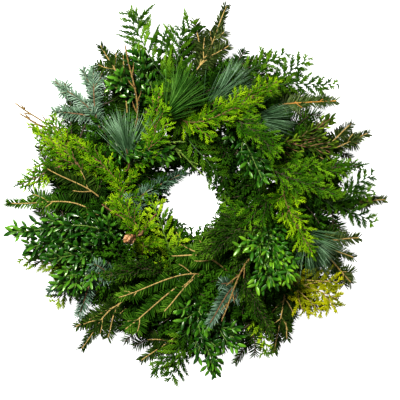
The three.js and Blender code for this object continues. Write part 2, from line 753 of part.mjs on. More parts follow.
// The small cone at the end of its twig: rings of scales, widest near the twig.
function cone(limb) {
  const profile = [new THREE.Vector2(0, 0), new THREE.Vector2(CONE.radius * 0.35, 0)];
  for (let i = 0; i < CONE.scales; i++) {
    const share = (i + 0.5) / CONE.scales;
    const wide = CONE.radius * Math.sin(Math.PI * (0.28 + 0.66 * share)) ** 0.6;
    profile.push(new THREE.Vector2(wide, CONE.length * share));
    profile.push(new THREE.Vector2(wide * 0.72, CONE.length * (share + 0.25 / CONE.scales)));
  }
  profile.push(new THREE.Vector2(0, CONE.length));
  const { at, t } = axesAt(limb, 1);
  const turned = new THREE.Quaternion().setFromUnitVectors(new THREE.Vector3(0, 1, 0), t);
  const seat = along(at, t, GAP + 0.02);
  return solidOf(
    new THREE.LatheGeometry(profile, 8).applyQuaternion(turned).translate(seat.x, seat.y, seat.z),
  );
}

// ---- building the wreath ----

// Places a piece that has to be clear of all the others.
function placeClear(owner, solid) {
  if (!isClear(owner, solid)) throw new Error(`${owner} meets another spray`);
  return place(owner, solid);
}

const wreath = new THREE.Group();
const ring = place("wire_ring", wireRing());
const sprays = SPRAYS.map(sprayCurves);

// All the wood is placed first, so that no needle or leaf grows through another spray's stem.
for (const spray of sprays) {
  spray.shoots = shootsOf(spray);
  spray.frondCurves = frondCurves(spray);
  for (const { stations, sides } of spray.shoots) {
    placeClear(spray.name, shoot({ stations, sides }));
  }
  for (const curve of spray.frondCurves) {
    placeClear(spray.name, shoot({ stations: ribStations(curve), sides: 4 }));
  }
}
const coneTwig = sprays.find(({ name }) => name === CONE.spray).limbs[CONE.limb];
const coneSolid = placeClear("cypress_cone", cone(coneTwig));

for (const { name, kind, shoots, frondCurves: curves } of sprays) {
  const fronds = curves.map((curve, i) => frond(name, curve, FROND_BREADTHS[kind], i ? -2 : 0));
  const solid = largestBody(wasm.Manifold.union([...shoots.map(shoot), ...fronds]));
  wreath.add(meshOf(name, solid, FINISH[kind]));
}
wreath.add(meshOf("cypress_cone", coneSolid, FINISH.cone));
wreath.add(meshOf("wire_ring", ring, FINISH.wire));

// The wreath stands on the rails, and its middle is over the origin.
const box = new THREE.Box3().setFromObject(wreath);
wreath.position.set(-(box.min.x + box.max.x) / 2, -(box.min.y + box.max.y) / 2, -box.min.z);

export default wreath;
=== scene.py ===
# %% [markdown]
# # A fresh evergreen wreath
#
# The real wreath is a wire ring with two rails. Florists lay a bunch of cut sprays on it, bend a
# clamp shut over the stems, and lay the next bunch so that it covers them, all the way round.
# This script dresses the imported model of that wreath: it grows each spray again where the model has
# it, or a little to the side, with the fine needles, scales and leaves that the solids stand for.

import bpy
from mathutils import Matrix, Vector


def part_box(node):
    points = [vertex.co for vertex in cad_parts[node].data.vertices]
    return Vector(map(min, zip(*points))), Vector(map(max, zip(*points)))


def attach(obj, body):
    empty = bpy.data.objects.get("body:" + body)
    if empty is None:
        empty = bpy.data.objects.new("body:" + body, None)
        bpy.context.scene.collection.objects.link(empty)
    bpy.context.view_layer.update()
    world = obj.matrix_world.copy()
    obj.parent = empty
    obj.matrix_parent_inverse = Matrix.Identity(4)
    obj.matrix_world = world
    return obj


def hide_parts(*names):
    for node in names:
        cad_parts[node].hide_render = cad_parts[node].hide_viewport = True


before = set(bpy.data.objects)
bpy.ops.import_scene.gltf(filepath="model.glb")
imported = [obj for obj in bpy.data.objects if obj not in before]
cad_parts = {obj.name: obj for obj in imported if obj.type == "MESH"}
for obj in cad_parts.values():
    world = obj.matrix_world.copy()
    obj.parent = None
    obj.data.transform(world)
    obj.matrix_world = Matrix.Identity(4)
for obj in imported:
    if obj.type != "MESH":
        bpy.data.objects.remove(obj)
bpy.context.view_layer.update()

import math
import random

import bpy
from mathutils import Vector

MM = 0.001

# %% [markdown]
# ## Camera, light and floor
#
# The photograph looks straight down on the wreath, so the camera hangs above it with the top of the
# wreath towards +Y. A long lens keeps the tips from leaning outwards. The light comes from a panel
# at the upper left, a weaker one at the lower right and a pale sky, because the shadows are soft.
# The floor glows by itself, so that it stays white, and sheds no light on the greens.

# %% Camera, light and floor
VIEW_WIDTH = 640 * MM
VIEW_CENTRE = Vector((4.9, -11.4, 35)) * MM
CAMERA_HEIGHT = 3.0
SENSOR_WIDTH = 36
PANELS = {
    # name: place in metres, diameter, watts
    "key_panel": ((-0.7, 0.9, 2.0), 0.45, 90),
    "fill_panel": ((1.3, -0.8, 1.6), 1.2, 4),
}
SKY = {"Color": (1.0, 1.0, 0.97, 1), "Strength": 0.11}
GAMMA = 0.9
EXPOSURE = 0.1
FLOOR_HALF = 40
FLOOR_DROP = 0.5 * MM
PAPER = {
    "Base Color": (0.9, 0.9, 0.9, 1),
    "Roughness": 0.9,
    "Emission Color": (1, 1, 1, 1),
    "Emission Strength": 1.0,
}


def put(name, data):
    """An object that holds some data, linked into the scene."""
    thing = bpy.data.objects.new(name, data)
    bpy.context.scene.collection.objects.link(thing)
    return thing


def set_all(node, values):
    for socket, value in values.items():
        node.inputs[socket].default_value = value


camera = put("camera", bpy.data.cameras.new("camera"))
camera.location = VIEW_CENTRE + Vector((0, 0, CAMERA_HEIGHT))
camera.data.sensor_width = SENSOR_WIDTH
camera.data.lens = SENSOR_WIDTH * CAMERA_HEIGHT / VIEW_WIDTH
bpy.context.scene.camera = camera

for name, (place, size, watts) in PANELS.items():
    panel = bpy.data.lights.new(name, "AREA")
    panel.shape = "DISK"
    panel.size = size
    panel.energy = watts
    lamp = put(name, panel)
    lamp.location = place
    lamp.rotation_euler = (VIEW_CENTRE - lamp.location).to_track_quat("-Z", "Y").to_euler()

sky = bpy.data.worlds.new("sky")
sky.use_nodes = True
set_all(sky.node_tree.nodes["Background"], SKY)
bpy.context.scene.world = sky
bpy.context.scene.view_settings.view_transform = "Standard"
bpy.context.scene.view_settings.gamma = GAMMA
bpy.context.scene.view_settings.exposure = EXPOSURE

floor_mesh = bpy.data.meshes.new("floor")
corners = [(x * FLOOR_HALF, y * FLOOR_HALF, 0) for x, y in ((-1, -1), (1, -1), (1, 1), (-1, 1))]
floor_mesh.from_pydata(corners, [], [(0, 1, 2, 3)])
floor = put("floor", floor_mesh)
floor.location.z = -FLOOR_DROP
floor.visible_diffuse = False
floor.visible_glossy = False
paper = bpy.data.materials.new("white_paper")
paper.use_nodes = True
set_all(paper.node_tree.nodes["Principled BSDF"], PAPER)
floor_mesh.materials.append(paper)
print("view", VIEW_WIDTH, "m wide from", CAMERA_HEIGHT, "m")

# %% [markdown]
# ## How a node tree is written here
#
# Needles, scales and leaves repeat along a twig by a rule, which is what Geometry Nodes are for.
# Small helpers keep the trees readable: new_tree starts a tree with named sizes, add makes a node and
# links its inputs or sets them, and the others stand for steps that every tree takes. Whatever is
# random comes from varied, whose last number is only a seed, so each use of it has its own.

# %% Helpers for node trees
SOCKETS = {
    "length": ("NodeSocketFloat", "DISTANCE"),
    "angle": ("NodeSocketFloat", "ANGLE"),
    "share": ("NodeSocketFloat", "FACTOR"),
    "count": ("NodeSocketInt", "NONE"),
    "material": ("NodeSocketMaterial", None),
}
FLOOR_GAP = 2.5 * MM


def new_tree(title, sizes):
    """A tree with a geometry in and out and the named sizes, and its input node."""
    tree = bpy.data.node_groups.new(title, "GeometryNodeTree")
    tree.interface.new_socket("Geometry", in_out="INPUT", socket_type="NodeSocketGeometry")
    tree.interface.new_socket("Geometry", in_out="OUTPUT", socket_type="NodeSocketGeometry")
    for label, quantity in sizes.items():
        kind, subtype = SOCKETS[quantity]
        socket = tree.interface.new_socket(label, in_out="INPUT", socket_type=kind)
        if subtype and kind == "NodeSocketFloat":
            socket.subtype = subtype
    return tree, tree.nodes.new("NodeGroupInput").outputs


def add(tree, kind, inputs=None, **settings):
    """Adds a node, links or sets its inputs by name or place, and returns its outputs."""
    node = tree.nodes.new(kind)
    for setting, value in settings.items():
        setattr(node, setting, value)
    for key, value in (inputs or {}).items():
        if isinstance(value, bpy.types.NodeSocket):
            tree.links.new(value, node.inputs[key])
        else:
            node.inputs[key].default_value = value
    return node.outputs


def math_of(tree, operation, *values):
    return add(tree, "ShaderNodeMath", dict(enumerate(values)), operation=operation)[0]


def times(tree, first, second):
    return math_of(tree, "MULTIPLY", first, second)


def plus(tree, first, second):
    return math_of(tree, "ADD", first, second)


def sloped(tree, value, slope, start):
    """A number that begins at start and changes by slope for each unit of the value."""
    return math_of(tree, "MULTIPLY_ADD", value, slope, start)


def above(tree, value, limit):
    return math_of(tree, "GREATER_THAN", value, limit)


def attribute(tree, name):
    return add(tree, "GeometryNodeInputNamedAttribute", {"Name": name}, data_type="FLOAT")[0]


def axis_of(tree, vector, axis):
    """One number of a vector: 0 is X, 1 is Y, 2 is Z."""
    return add(tree, "ShaderNodeSeparateXYZ", {0: vector})[axis]


def place_on(tree, axis):
    return axis_of(tree, add(tree, "GeometryNodeInputPosition")[0], axis)


def remember(tree, geometry, name, value, domain="POINT"):
    """Stores a value under a name, for the materials or for a later node."""
    inputs = {"Geometry": geometry, "Name": name, "Value": value}
    stored = add(tree, "GeometryNodeStoreNamedAttribute", inputs, data_type="FLOAT", domain=domain)
    return stored[0]


def varied(tree, low, high, seed):
    """A random number between two values, its own for each point and for each seed."""
    inputs = {2: low, 3: high, "Seed": plus(tree, tree.nodes["Group Input"].outputs["Seed"], seed)}
    return add(tree, "FunctionNodeRandomValue", inputs, data_type="FLOAT")[1]


def turned(tree, rotation, axis, angle):
    """A rotation turned further, round one of its own axes."""
    turn = add(tree, "FunctionNodeAxisAngleToRotation", {"Axis": axis, "Angle": angle})[0]
    inputs = {"Rotation": rotation, "Rotate By": turn}
    return add(tree, "FunctionNodeRotateRotation", inputs, rotation_space="LOCAL")[0]


def faced_up(tree, rotation, share):
    """A rotation rolled round its own Z, so that its Y side looks up by that share of the way."""
    inputs = {"Rotation": rotation, "Factor": share, "Vector": (0, 0, 1)}
    kind = "FunctionNodeAlignRotationToVector"
    return add(tree, kind, inputs, axis="Y", pivot_axis="Z")[0]


def upward(tree, rotation):
    """How far up a rotation points its Z axis: 1 is straight up and 0 is level."""
    aim = add(tree, "FunctionNodeRotateVector", {"Vector": (0, 0, 1), "Rotation": rotation})[0]
    return axis_of(tree, aim, 2)


def off_the_floor(tree, rotation, reach):
    """Whether what grows from a point that way, that far, stays above the floor."""
    tip_height = sloped(tree, upward(tree, rotation), reach, place_on(tree, 2))
    return above(tree, tip_height, FLOOR_GAP)


def shaped(tree, value, knots):
    """A value read off a curve through (position, height) knots."""
    node = tree.nodes.new("ShaderNodeFloatCurve")
    tree.links.new(value, node.inputs["Value"])
    curve = node.mapping.curves[0]
    while len(curve.points) < len(knots):
        curve.points.new(0.5, 0.5)
    for point, (position, height) in zip(curve.points, knots):
        point.location = (position, height)
        point.handle_type = "VECTOR"
    node.mapping.update()
    return node.outputs[0]


def twigs_of(tree, geometry):
    """The skeleton's lines as curves that know the share along each."""
    curves = add(tree, "GeometryNodeMeshToCurve", {"Mesh": geometry})[0]
    return remember(tree, curves, "share", add(tree, "GeometryNodeSplineParameter")[0])


def upright(tree, curves):
    """The same curves with their normals held level, so that nothing on them twists."""
    return add(tree, "GeometryNodeSetCurveNormal", {"Curve": curves}, mode="Z_UP")[0]


def stops_along(tree, curves, pitch):
    """A point at each pitch along the curves, with the curve's rotation there."""
    return add(tree, "GeometryNodeCurveToPoints", {"Curve": curves, "Length": pitch}, mode="LENGTH")


def stand(tree, stops, wanted, instance, rotation, scale, shade_seed=None):
    """Stands an instance on each wanted point, with a shade of its own if there's a seed for it."""
    inputs = {
        "Points": stops["Points"],
        "Selection": wanted,
        "Instance": instance,
        "Rotation": rotation,
        "Scale": scale,
    }
    placed = add(tree, "GeometryNodeInstanceOnPoints", inputs)[0]
    if shade_seed is None:
        return placed
    return remember(tree, placed, "shade", varied(tree, 0.0, 1.0, shade_seed), "INSTANCE")


# %% [markdown]
# ## One blade
#
# A needle, a cedar scale and a boxwood leaf are all the same thing in different proportions: a
# small closed body that swells and tapers along a line. So each is a short line, swept by a flat
# ring whose size follows a profile. It stays at a few dozen faces, because it is repeated
# thousands of times.

# %% The blade, the bark and the ending that all trees share
MERGE_DISTANCE = 0.002 * MM


def unit_line(tree, points):
    """A line of that many points, one unit long, along +Z."""
    line = add(tree, "GeometryNodeCurvePrimitiveLine", {"End": (0, 0, 1)})[0]
    return add(tree, "GeometryNodeResampleCurve", {"Curve": line, "Count": points})[0]


def ring_of(tree, sides, radius):
    return add(tree, "GeometryNodeCurvePrimitiveCircle", {"Resolution": sides, "Radius": radius})[0]


def swept(tree, curves, ring, scale):
    """A ring swept along curves, its ends closed."""
    inputs = {"Curve": curves, "Profile Curve": ring, "Scale": scale, "Fill Caps": True}
    return add(tree, "GeometryNodeCurveToMesh", inputs)[0]


def blade(tree, sizes, points, profile, sides=4, curl=0.0, fold=0.0):
    """A closed blade along +Z, its flat faces to -Y and +Y, marked with how far along it is."""
    length, width, thick = sizes
    along = add(tree, "GeometryNodeSplineParameter")[0]
    far = times(tree, along, length)
    lean = times(tree, times(tree, along, far), curl)
    place = add(tree, "ShaderNodeCombineXYZ", {"Y": lean, "Z": far})[0]
    bent = {"Geometry": unit_line(tree, points), "Position": place}
    line = remember(tree, add(tree, "GeometryNodeSetPosition", bent)[0], "along", along)
    ring = ring_of(tree, sides, 0.5)
    if fold:
        up = times(tree, math_of(tree, "ABSOLUTE", place_on(tree, 0)), fold)
        lift = add(tree, "ShaderNodeCombineXYZ", {"Y": up})[0]
        ring = add(tree, "GeometryNodeSetPosition", {"Geometry": ring, "Offset": lift})[0]
    size = add(tree, "ShaderNodeCombineXYZ", {"X": width, "Y": thick, "Z": 1.0})[0]
    flat = add(tree, "GeometryNodeTransform", {"Geometry": ring, "Scale": size})[0]
    body = swept(tree, line, flat, shaped(tree, along, profile))
    return add(tree, "GeometryNodeMergeByDistance", {"Geometry": body, "Distance": MERGE_DISTANCE})[0]


def bark(tree, curves, sides=6):
    """Tubes along the twigs, as thick as their girth says."""
    tube = swept(tree, curves, ring_of(tree, sides, 1.0), attribute(tree, "girth"))
    return remember(tree, tube, "is_bark", 1.0)


def finish_tree(tree, parts, foliage_material, bark_material):
    """Joins the parts, makes the instances real, and gives foliage and bark their materials."""
    joined = tree.nodes.new("GeometryNodeJoinGeometry")
    for part in reversed(parts):
        tree.links.new(part, joined.inputs[0])
    real = add(tree, "GeometryNodeRealizeInstances", {"Geometry": joined.outputs[0]})[0]
    smooth = add(tree, "GeometryNodeSetShadeSmooth", {"Geometry": real})[0]
    green = {"Geometry": smooth, "Material": foliage_material}
    dressed = add(tree, "GeometryNodeSetMaterial", green)[0]
    is_bark = above(tree, attribute(tree, "is_bark"), 0.5)
    brown = {"Geometry": dressed, "Selection": is_bark, "Material": bark_material}
    ended = add(tree, "GeometryNodeSetMaterial", brown)[0]
    out = tree.nodes.new("NodeGroupOutput")
    tree.links.new(ended, out.inputs[0])


# %% [markdown]
# ## Needled twigs
#
# Fir, pine and juniper carry their needles or scaly branchlets on a spiral, and so do a budded twig
# and a cone. Each one is turned by the golden angle from the last, so no two lie right above each
# other. Only the sizes differ, so one function writes a tree for each from its blade's profile.

# %% The tree for needled twigs
GOLDEN_ANGLE = math.radians(137.508)
ROLL_WANDER = 0.35
COMBING = 0.5
TIP_FADE = 0.3
SHORTEST_NEEDLE, LONGEST_NEEDLE = 0.75, 1.1
TWIG_SIZES = {
    "Needle length": "length",
    "Needle width": "length",
    "Needle thickness": "length",
    "Needle pitch": "length",
    "Open angle": "angle",
    "Tip angle": "angle",
    "Unevenness": "angle",
    "Flatness": "share",
    "Bare above": "share",
    "Facing up": "share",
    "Needles in a bundle": "count",
    "Seed": "count",
    "Foliage": "material",
    "Bark": "material",
}


def needled_tree(title, points, profile, curl):
    """Needles on a spiral along every twig, opening less towards the tips."""
    tree, size = new_tree(title, TWIG_SIZES)
    curves = upright(tree, twigs_of(tree, size["Geometry"]))
    stops = stops_along(tree, curves, size["Needle pitch"])
    share = attribute(tree, "share")
    order = add(tree, "GeometryNodeInputIndex")[0]
    bundle = math_of(tree, "FLOOR", math_of(tree, "DIVIDE", order, size["Needles in a bundle"]))
    wander = varied(tree, -ROLL_WANDER, ROLL_WANDER, 1)
    spiral = plus(tree, times(tree, bundle, GOLDEN_ANGLE), wander)
    sideways = math_of(tree, "SINE", times(tree, spiral, 2.0))
    combed = times(tree, sideways, times(tree, size["Flatness"], -COMBING))
    roll = plus(tree, plus(tree, spiral, combed), math.pi / 2)
    narrowing = math_of(tree, "POWER", share, 2.0)
    span = {"Value": narrowing, "To Min": size["Open angle"], "To Max": size["Tip angle"]}
    uneven = times(tree, varied(tree, -1.0, 1.0, 2), size["Unevenness"])
    opening = plus(tree, add(tree, "ShaderNodeMapRange", span)[0], uneven)
    rotation = turned(tree, stops["Rotation"], (0, 0, 1), roll)
    rotation = turned(tree, rotation, (1, 0, 0), opening)
    rotation = faced_up(tree, rotation, size["Facing up"])
    low_enough = math_of(tree, "LESS_THAN", upward(tree, rotation), size["Bare above"])
    clear = off_the_floor(tree, rotation, times(tree, size["Needle length"], LONGEST_NEEDLE))
    wanted = times(tree, times(tree, low_enough, above(tree, attribute(tree, "leafy"), 0.5)), clear)
    fade = sloped(tree, math_of(tree, "POWER", share, 3.0), -TIP_FADE, 1.0)
    scale = times(tree, fade, varied(tree, SHORTEST_NEEDLE, LONGEST_NEEDLE, 3))
    sizes = [size["Needle length"], size["Needle width"], size["Needle thickness"]]
    needle = blade(tree, sizes, points, profile, curl=curl)
    needles = stand(tree, stops, wanted, needle, rotation, scale, 4)
    finish_tree(tree, [bark(tree, curves), needles], size["Foliage"], size["Bark"])
    return tree


FIR_PROFILE = [(0, 0.5), (0.3, 1), (0.7, 0.95), (1, 0.3)]
PINE_PROFILE = [(0, 0.8), (0.5, 1), (1, 0)]
SCALE_PROFILE = [(0, 0.6), (0.35, 1), (0.7, 0.75), (1, 0)]
CONE_PROFILE = [(0, 0.5), (0.4, 0.9), (0.75, 1), (1, 0.45)]
BUD_PROFILE = [(0, 0.5), (0.4, 1), (1, 0)]
SHADE_PROFILE = [(0, 0.6), (0.5, 1), (1, 0)]
fir_tree = needled_tree("fir twigs", 4, FIR_PROFILE, curl=-0.12)
pine_tree = needled_tree("pine twigs", 4, PINE_PROFILE, curl=-0.1)
scaly_tree = needled_tree("scaly twigs", 4, SCALE_PROFILE, curl=-0.1)
budded_tree = needled_tree("budded twigs", 4, BUD_PROFILE, curl=0.0)
shade_needle_tree = needled_tree("needles in the shade", 3, SHADE_PROFILE, curl=-0.1)
cone_tree = needled_tree("cone scales", 5, CONE_PROFILE, curl=-0.25)
print("trees", [tree.name for tree in bpy.data.node_groups])

# %% [markdown]
# ## Cedar fans
#
# A cedar frond is flat: a rib with lobes on both sides, and on each lobe scaly branchlets on both
# sides again. That is one rule used twice, so the tree places lines along the rib, makes them real,
# and places the branchlets along those. A cypress plume grows by the same rule, with its lobes
# closer together and rolled out of the plane.

# %% The tree for fans
FAN_SIZES = {
    "Lobe pitch": "length",
    "Lobe angle": "angle",
    "Lobe roll": "angle",
    "Lobe droop": "share",
    "Branchlet length": "length",
    "Branchlet width": "length",
    "Branchlet thickness": "length",
    "Branchlet pitch": "length",
    "Seed": "count",
    "Foliage": "material",
    "Bark": "material",
}
RIB_OUTLINE = [(0, 0.45), (0.45, 1), (0.8, 0.95), (1, 0.3)]
LOBE_OUTLINE = [(0, 0.5), (0.3, 1), (0.8, 0.62), (1, 0.45)]
LOBE_POINTS = 4
LOBE_WANDER = 0.12
SHORTEST_LOBE, LONGEST_LOBE = 0.75, 1.12
BRANCHLET_ANGLE = 0.64
SHORTEST_BRANCHLET, LONGEST_BRANCHLET = 0.8, 1.1
BRANCHLET_ROOM = 1.2
CLOSING = 0.3
SWING_WANDER, PITCH_WANDER, TURN_WANDER = 0.1, 0.25, 0.4
LOBE_SIDES = 4
LOBE_ROOT_GIRTH = 1.5 * MM
LOBE_TAPER = 0.9 * MM


def side_of(tree):
    """-1 and 1 in turn, from one point to the next."""
    order = add(tree, "GeometryNodeInputIndex")[0]
    return sloped(tree, math_of(tree, "MODULO", order, 2.0), 2.0, -1.0)


def lobes_on(tree, size, ribs):
    """Lobes to both sides of every rib, drooping a little, marked with the way out along them."""
    stops = stops_along(tree, ribs, size["Lobe pitch"])
    swing = plus(tree, size["Lobe angle"], varied(tree, -LOBE_WANDER, LOBE_WANDER, 5))
    tilt = times(tree, varied(tree, -1.0, 1.0, 6), size["Lobe roll"])
    rotation = turned(tree, stops["Rotation"], (0, 0, 1), tilt)
    rotation = turned(tree, rotation, (0, 1, 0), times(tree, swing, side_of(tree)))
    outline = shaped(tree, attribute(tree, "share"), RIB_OUTLINE)
    reach = times(tree, attribute(tree, "breadth"), outline)
    reach = times(tree, reach, varied(tree, SHORTEST_LOBE, LONGEST_LOBE, 7))
    leafy = above(tree, attribute(tree, "leafy"), 0.5)
    wanted = times(tree, leafy, off_the_floor(tree, rotation, reach))
    lobes = stand(tree, stops, wanted, unit_line(tree, LOBE_POINTS), rotation, reach, 8)
    lobes = add(tree, "GeometryNodeRealizeInstances", {"Geometry": lobes})[0]
    out = add(tree, "GeometryNodeSplineParameter")
    lobes = remember(tree, lobes, "out", out[0])
    fall = times(tree, times(tree, out[0], out[1]), size["Lobe droop"])
    drop = add(tree, "ShaderNodeCombineXYZ", {"Z": times(tree, fall, -1.0)})[0]
    return upright(tree, add(tree, "GeometryNodeSetPosition", {"Geometry": lobes, "Offset": drop})[0])


def fan_tree(title, points, profile):
    """Lobes in a plane along every rib, and scaly branchlets in the same plane along every lobe."""
    tree, size = new_tree(title, FAN_SIZES)
    ribs = upright(tree, twigs_of(tree, size["Geometry"]))
    lobes = lobes_on(tree, size, ribs)
    stops = stops_along(tree, lobes, size["Branchlet pitch"])
    out = attribute(tree, "out")
    wander = varied(tree, -SWING_WANDER, SWING_WANDER, 9)
    swing = plus(tree, sloped(tree, out, -CLOSING, BRANCHLET_ANGLE), wander)
    rotation = turned(tree, stops["Rotation"], (0, 1, 0), times(tree, swing, side_of(tree)))
    rotation = turned(tree, rotation, (1, 0, 0), varied(tree, -PITCH_WANDER, PITCH_WANDER, 10))
    rotation = turned(tree, rotation, (0, 0, 1), varied(tree, -TURN_WANDER, TURN_WANDER, 11))
    wanted = off_the_floor(tree, rotation, times(tree, size["Branchlet length"], BRANCHLET_ROOM))
    own_length = varied(tree, SHORTEST_BRANCHLET, LONGEST_BRANCHLET, 12)
    scale = times(tree, shaped(tree, out, LOBE_OUTLINE), own_length)
    sizes = [size["Branchlet length"], size["Branchlet width"], size["Branchlet thickness"]]
    branchlets = stand(tree, stops, wanted, blade(tree, sizes, points, profile), rotation, scale)
    taper = sloped(tree, out, -LOBE_TAPER, LOBE_ROOT_GIRTH)
    lobe_ribs = swept(tree, lobes, ring_of(tree, LOBE_SIDES, 1.0), taper)
    finish_tree(tree, [bark(tree, ribs), lobe_ribs, branchlets], size["Foliage"], size["Bark"])
    return tree


cedar_tree = fan_tree("cedar fans", 4, SCALE_PROFILE)
shade_fan_tree = fan_tree("fans in the shade", 3, SHADE_PROFILE)
print("trees", len(bpy.data.node_groups))

# %% [markdown]
# ## Leafy twigs
#
# Boxwood bears its leaves in opposite pairs, and each pair is a quarter turn from the last. Two
# sets of the same leaf stand on the same points, half a turn apart.

# %% The tree for leafy twigs
LEAF_SIZES = {
    "Leaf length": "length",
    "Leaf width": "length",
    "Leaf thickness": "length",
    "Leaf pitch": "length",
    "Open angle": "angle",
    "Facing up": "share",
    "Seed": "count",
    "Foliage": "material",
    "Bark": "material",
}
LEAF_PROFILE = [(0, 0.12), (0.17, 0.62), (0.4, 1), (0.65, 0.84), (0.86, 0.42), (1, 0)]
LEAF_POINTS, LEAF_SIDES = 7, 6
LEAF_CURL, LEAF_FOLD = -0.16, 0.9
SMALLEST_LEAF, LARGEST_LEAF = 0.7, 1.1
LEAF_WANDER = 0.35
OPENING_WANDER = 0.25
CLOSING_UP = 0.45


def leafy_tree(title):
    """Opposite pairs of leaves along every twig, each pair a quarter turn from the last."""
    tree, size = new_tree(title, LEAF_SIZES)
    curves = twigs_of(tree, size["Geometry"])
    stops = stops_along(tree, curves, size["Leaf pitch"])
    order = add(tree, "GeometryNodeInputIndex")[0]
    sizes = [size["Leaf length"], size["Leaf width"], size["Leaf thickness"]]
    leaf = blade(tree, sizes, LEAF_POINTS, LEAF_PROFILE, LEAF_SIDES, LEAF_CURL, LEAF_FOLD)
    grown = above(tree, attribute(tree, "leafy"), 0.5)
    narrowing = sloped(tree, attribute(tree, "share"), -CLOSING_UP, 1.0)
    parts = [bark(tree, curves, sides=5)]
    for half in (0, 1):
        roll = sloped(tree, order, math.pi / 2, math.pi * half)
        roll = plus(tree, roll, varied(tree, -LEAF_WANDER, LEAF_WANDER, 20 + half))
        opening = times(tree, size["Open angle"], narrowing)
        opening = plus(tree, opening, varied(tree, -OPENING_WANDER, OPENING_WANDER, 22 + half))
        rotation = turned(tree, stops["Rotation"], (0, 0, 1), roll)
        rotation = turned(tree, rotation, (1, 0, 0), opening)
        rotation = faced_up(tree, rotation, size["Facing up"])
        wanted = times(tree, grown, off_the_floor(tree, rotation, size["Leaf length"]))
        scale = varied(tree, SMALLEST_LEAF, LARGEST_LEAF, 24 + half)
        parts.append(stand(tree, stops, wanted, leaf, rotation, scale, 26 + half))
    finish_tree(tree, parts, size["Foliage"], size["Bark"])
    return tree


boxwood_tree = leafy_tree("boxwood twigs")
print("trees", len(bpy.data.node_groups))

# %% [markdown]
# ## Colours of the greens
#
# No needle has exactly its neighbour's green, and each is lighter at its tip than at its root. So
# every foliage finish mixes three greens by a number that belongs to the needle, by how far out the
# point is along needle, lobe and twig, and by broad patches of noise. The lighter tips are partly new
# growth, and the darker roots of needles, twigs and lobes are partly painted shade, for the shade deep
# inside a spray. One flat green would look like plastic. The bark has fine noise in its colour and its
# bump.

# %% Finishes
def new_material(name):
    material = bpy.data.materials.new(name)
    material.use_nodes = True
    nodes = material.node_tree
    return material, nodes, nodes.nodes["Principled BSDF"]


LEAF_SHEEN = (0.85, 1.0, 0.5, 1)
WAXY_SHEEN = (1, 1, 0.8, 1)
PATCH_SCALE = 22.0
PATCH_STRENGTH, PATCH_START = 0.9, -0.55
# along, share and out keep the roots darker: partly new growth, partly painted shade in the sprays
LIGHTER_BY = {
    # attribute: how much it adds towards the tip's green
    "shade": 0.5,
    "along": 0.3,
    "share": 0.3,
    "out": 0.3,
}


def foliage(name, deep, middle, tip, roughness=0.5, gloss=0.06, sheen=LEAF_SHEEN):
    """A green that varies from needle to needle and lightens towards each tip, partly painted shade."""
    material, tree, shader = new_material(name)
    spots = {"Vector": add(tree, "ShaderNodeTexCoord")["Object"], "Scale": PATCH_SCALE, "Detail": 1.0}
    light = sloped(tree, add(tree, "ShaderNodeTexNoise", spots)["Fac"], PATCH_STRENGTH, PATCH_START)
    # painted shade in part: the roots of needles, twigs and lobes come out darker than their tips
    for label, share in LIGHTER_BY.items():
        there = add(tree, "ShaderNodeAttribute", attribute_name=label)["Fac"]
        light = sloped(tree, there, share, light)
    ramp = tree.nodes.new("ShaderNodeValToRGB")
    tree.links.new(light, ramp.inputs[0])
    ramp.color_ramp.elements[0].color = (*deep, 1)
    ramp.color_ramp.elements[1].color = (*tip, 1)
    ramp.color_ramp.elements.new(0.5).color = (*middle, 1)
    tree.links.new(ramp.outputs[0], shader.inputs["Base Color"])
    set_all(shader, {"Roughness": roughness, "Specular IOR Level": gloss, "Specular Tint": sheen})
    return material


BARK_GRAIN = 450.0
GRAIN_LOW, GRAIN_HIGH = 0.35, 0.65
BARK_RELIEF = 0.3 * MM
BUMP_STRENGTH = 0.4


def bark_finish(name, dark, light, roughness=0.75):
    """Bark with fine noise in its colour and bump."""
    material, tree, shader = new_material(name)
    spots = {"Vector": add(tree, "ShaderNodeTexCoord")["Object"], "Scale": BARK_GRAIN, "Detail": 3.0}
    grain = add(tree, "ShaderNodeTexNoise", spots)["Fac"]
    ramp = tree.nodes.new("ShaderNodeValToRGB")
    tree.links.new(grain, ramp.inputs[0])
    ends = zip(ramp.color_ramp.elements, (GRAIN_LOW, GRAIN_HIGH), (dark, light))
    for end, position, colour in ends:
        end.position = position
        end.color = (*colour, 1)
    tree.links.new(ramp.outputs[0], shader.inputs["Base Color"])
    relief = {"Height": grain, "Strength": BUMP_STRENGTH, "Distance": BARK_RELIEF}
    bump = add(tree, "ShaderNodeBump", relief)[0]
    tree.links.new(bump, shader.inputs["Normal"])
    shader.inputs["Roughness"].default_value = roughness
    return material


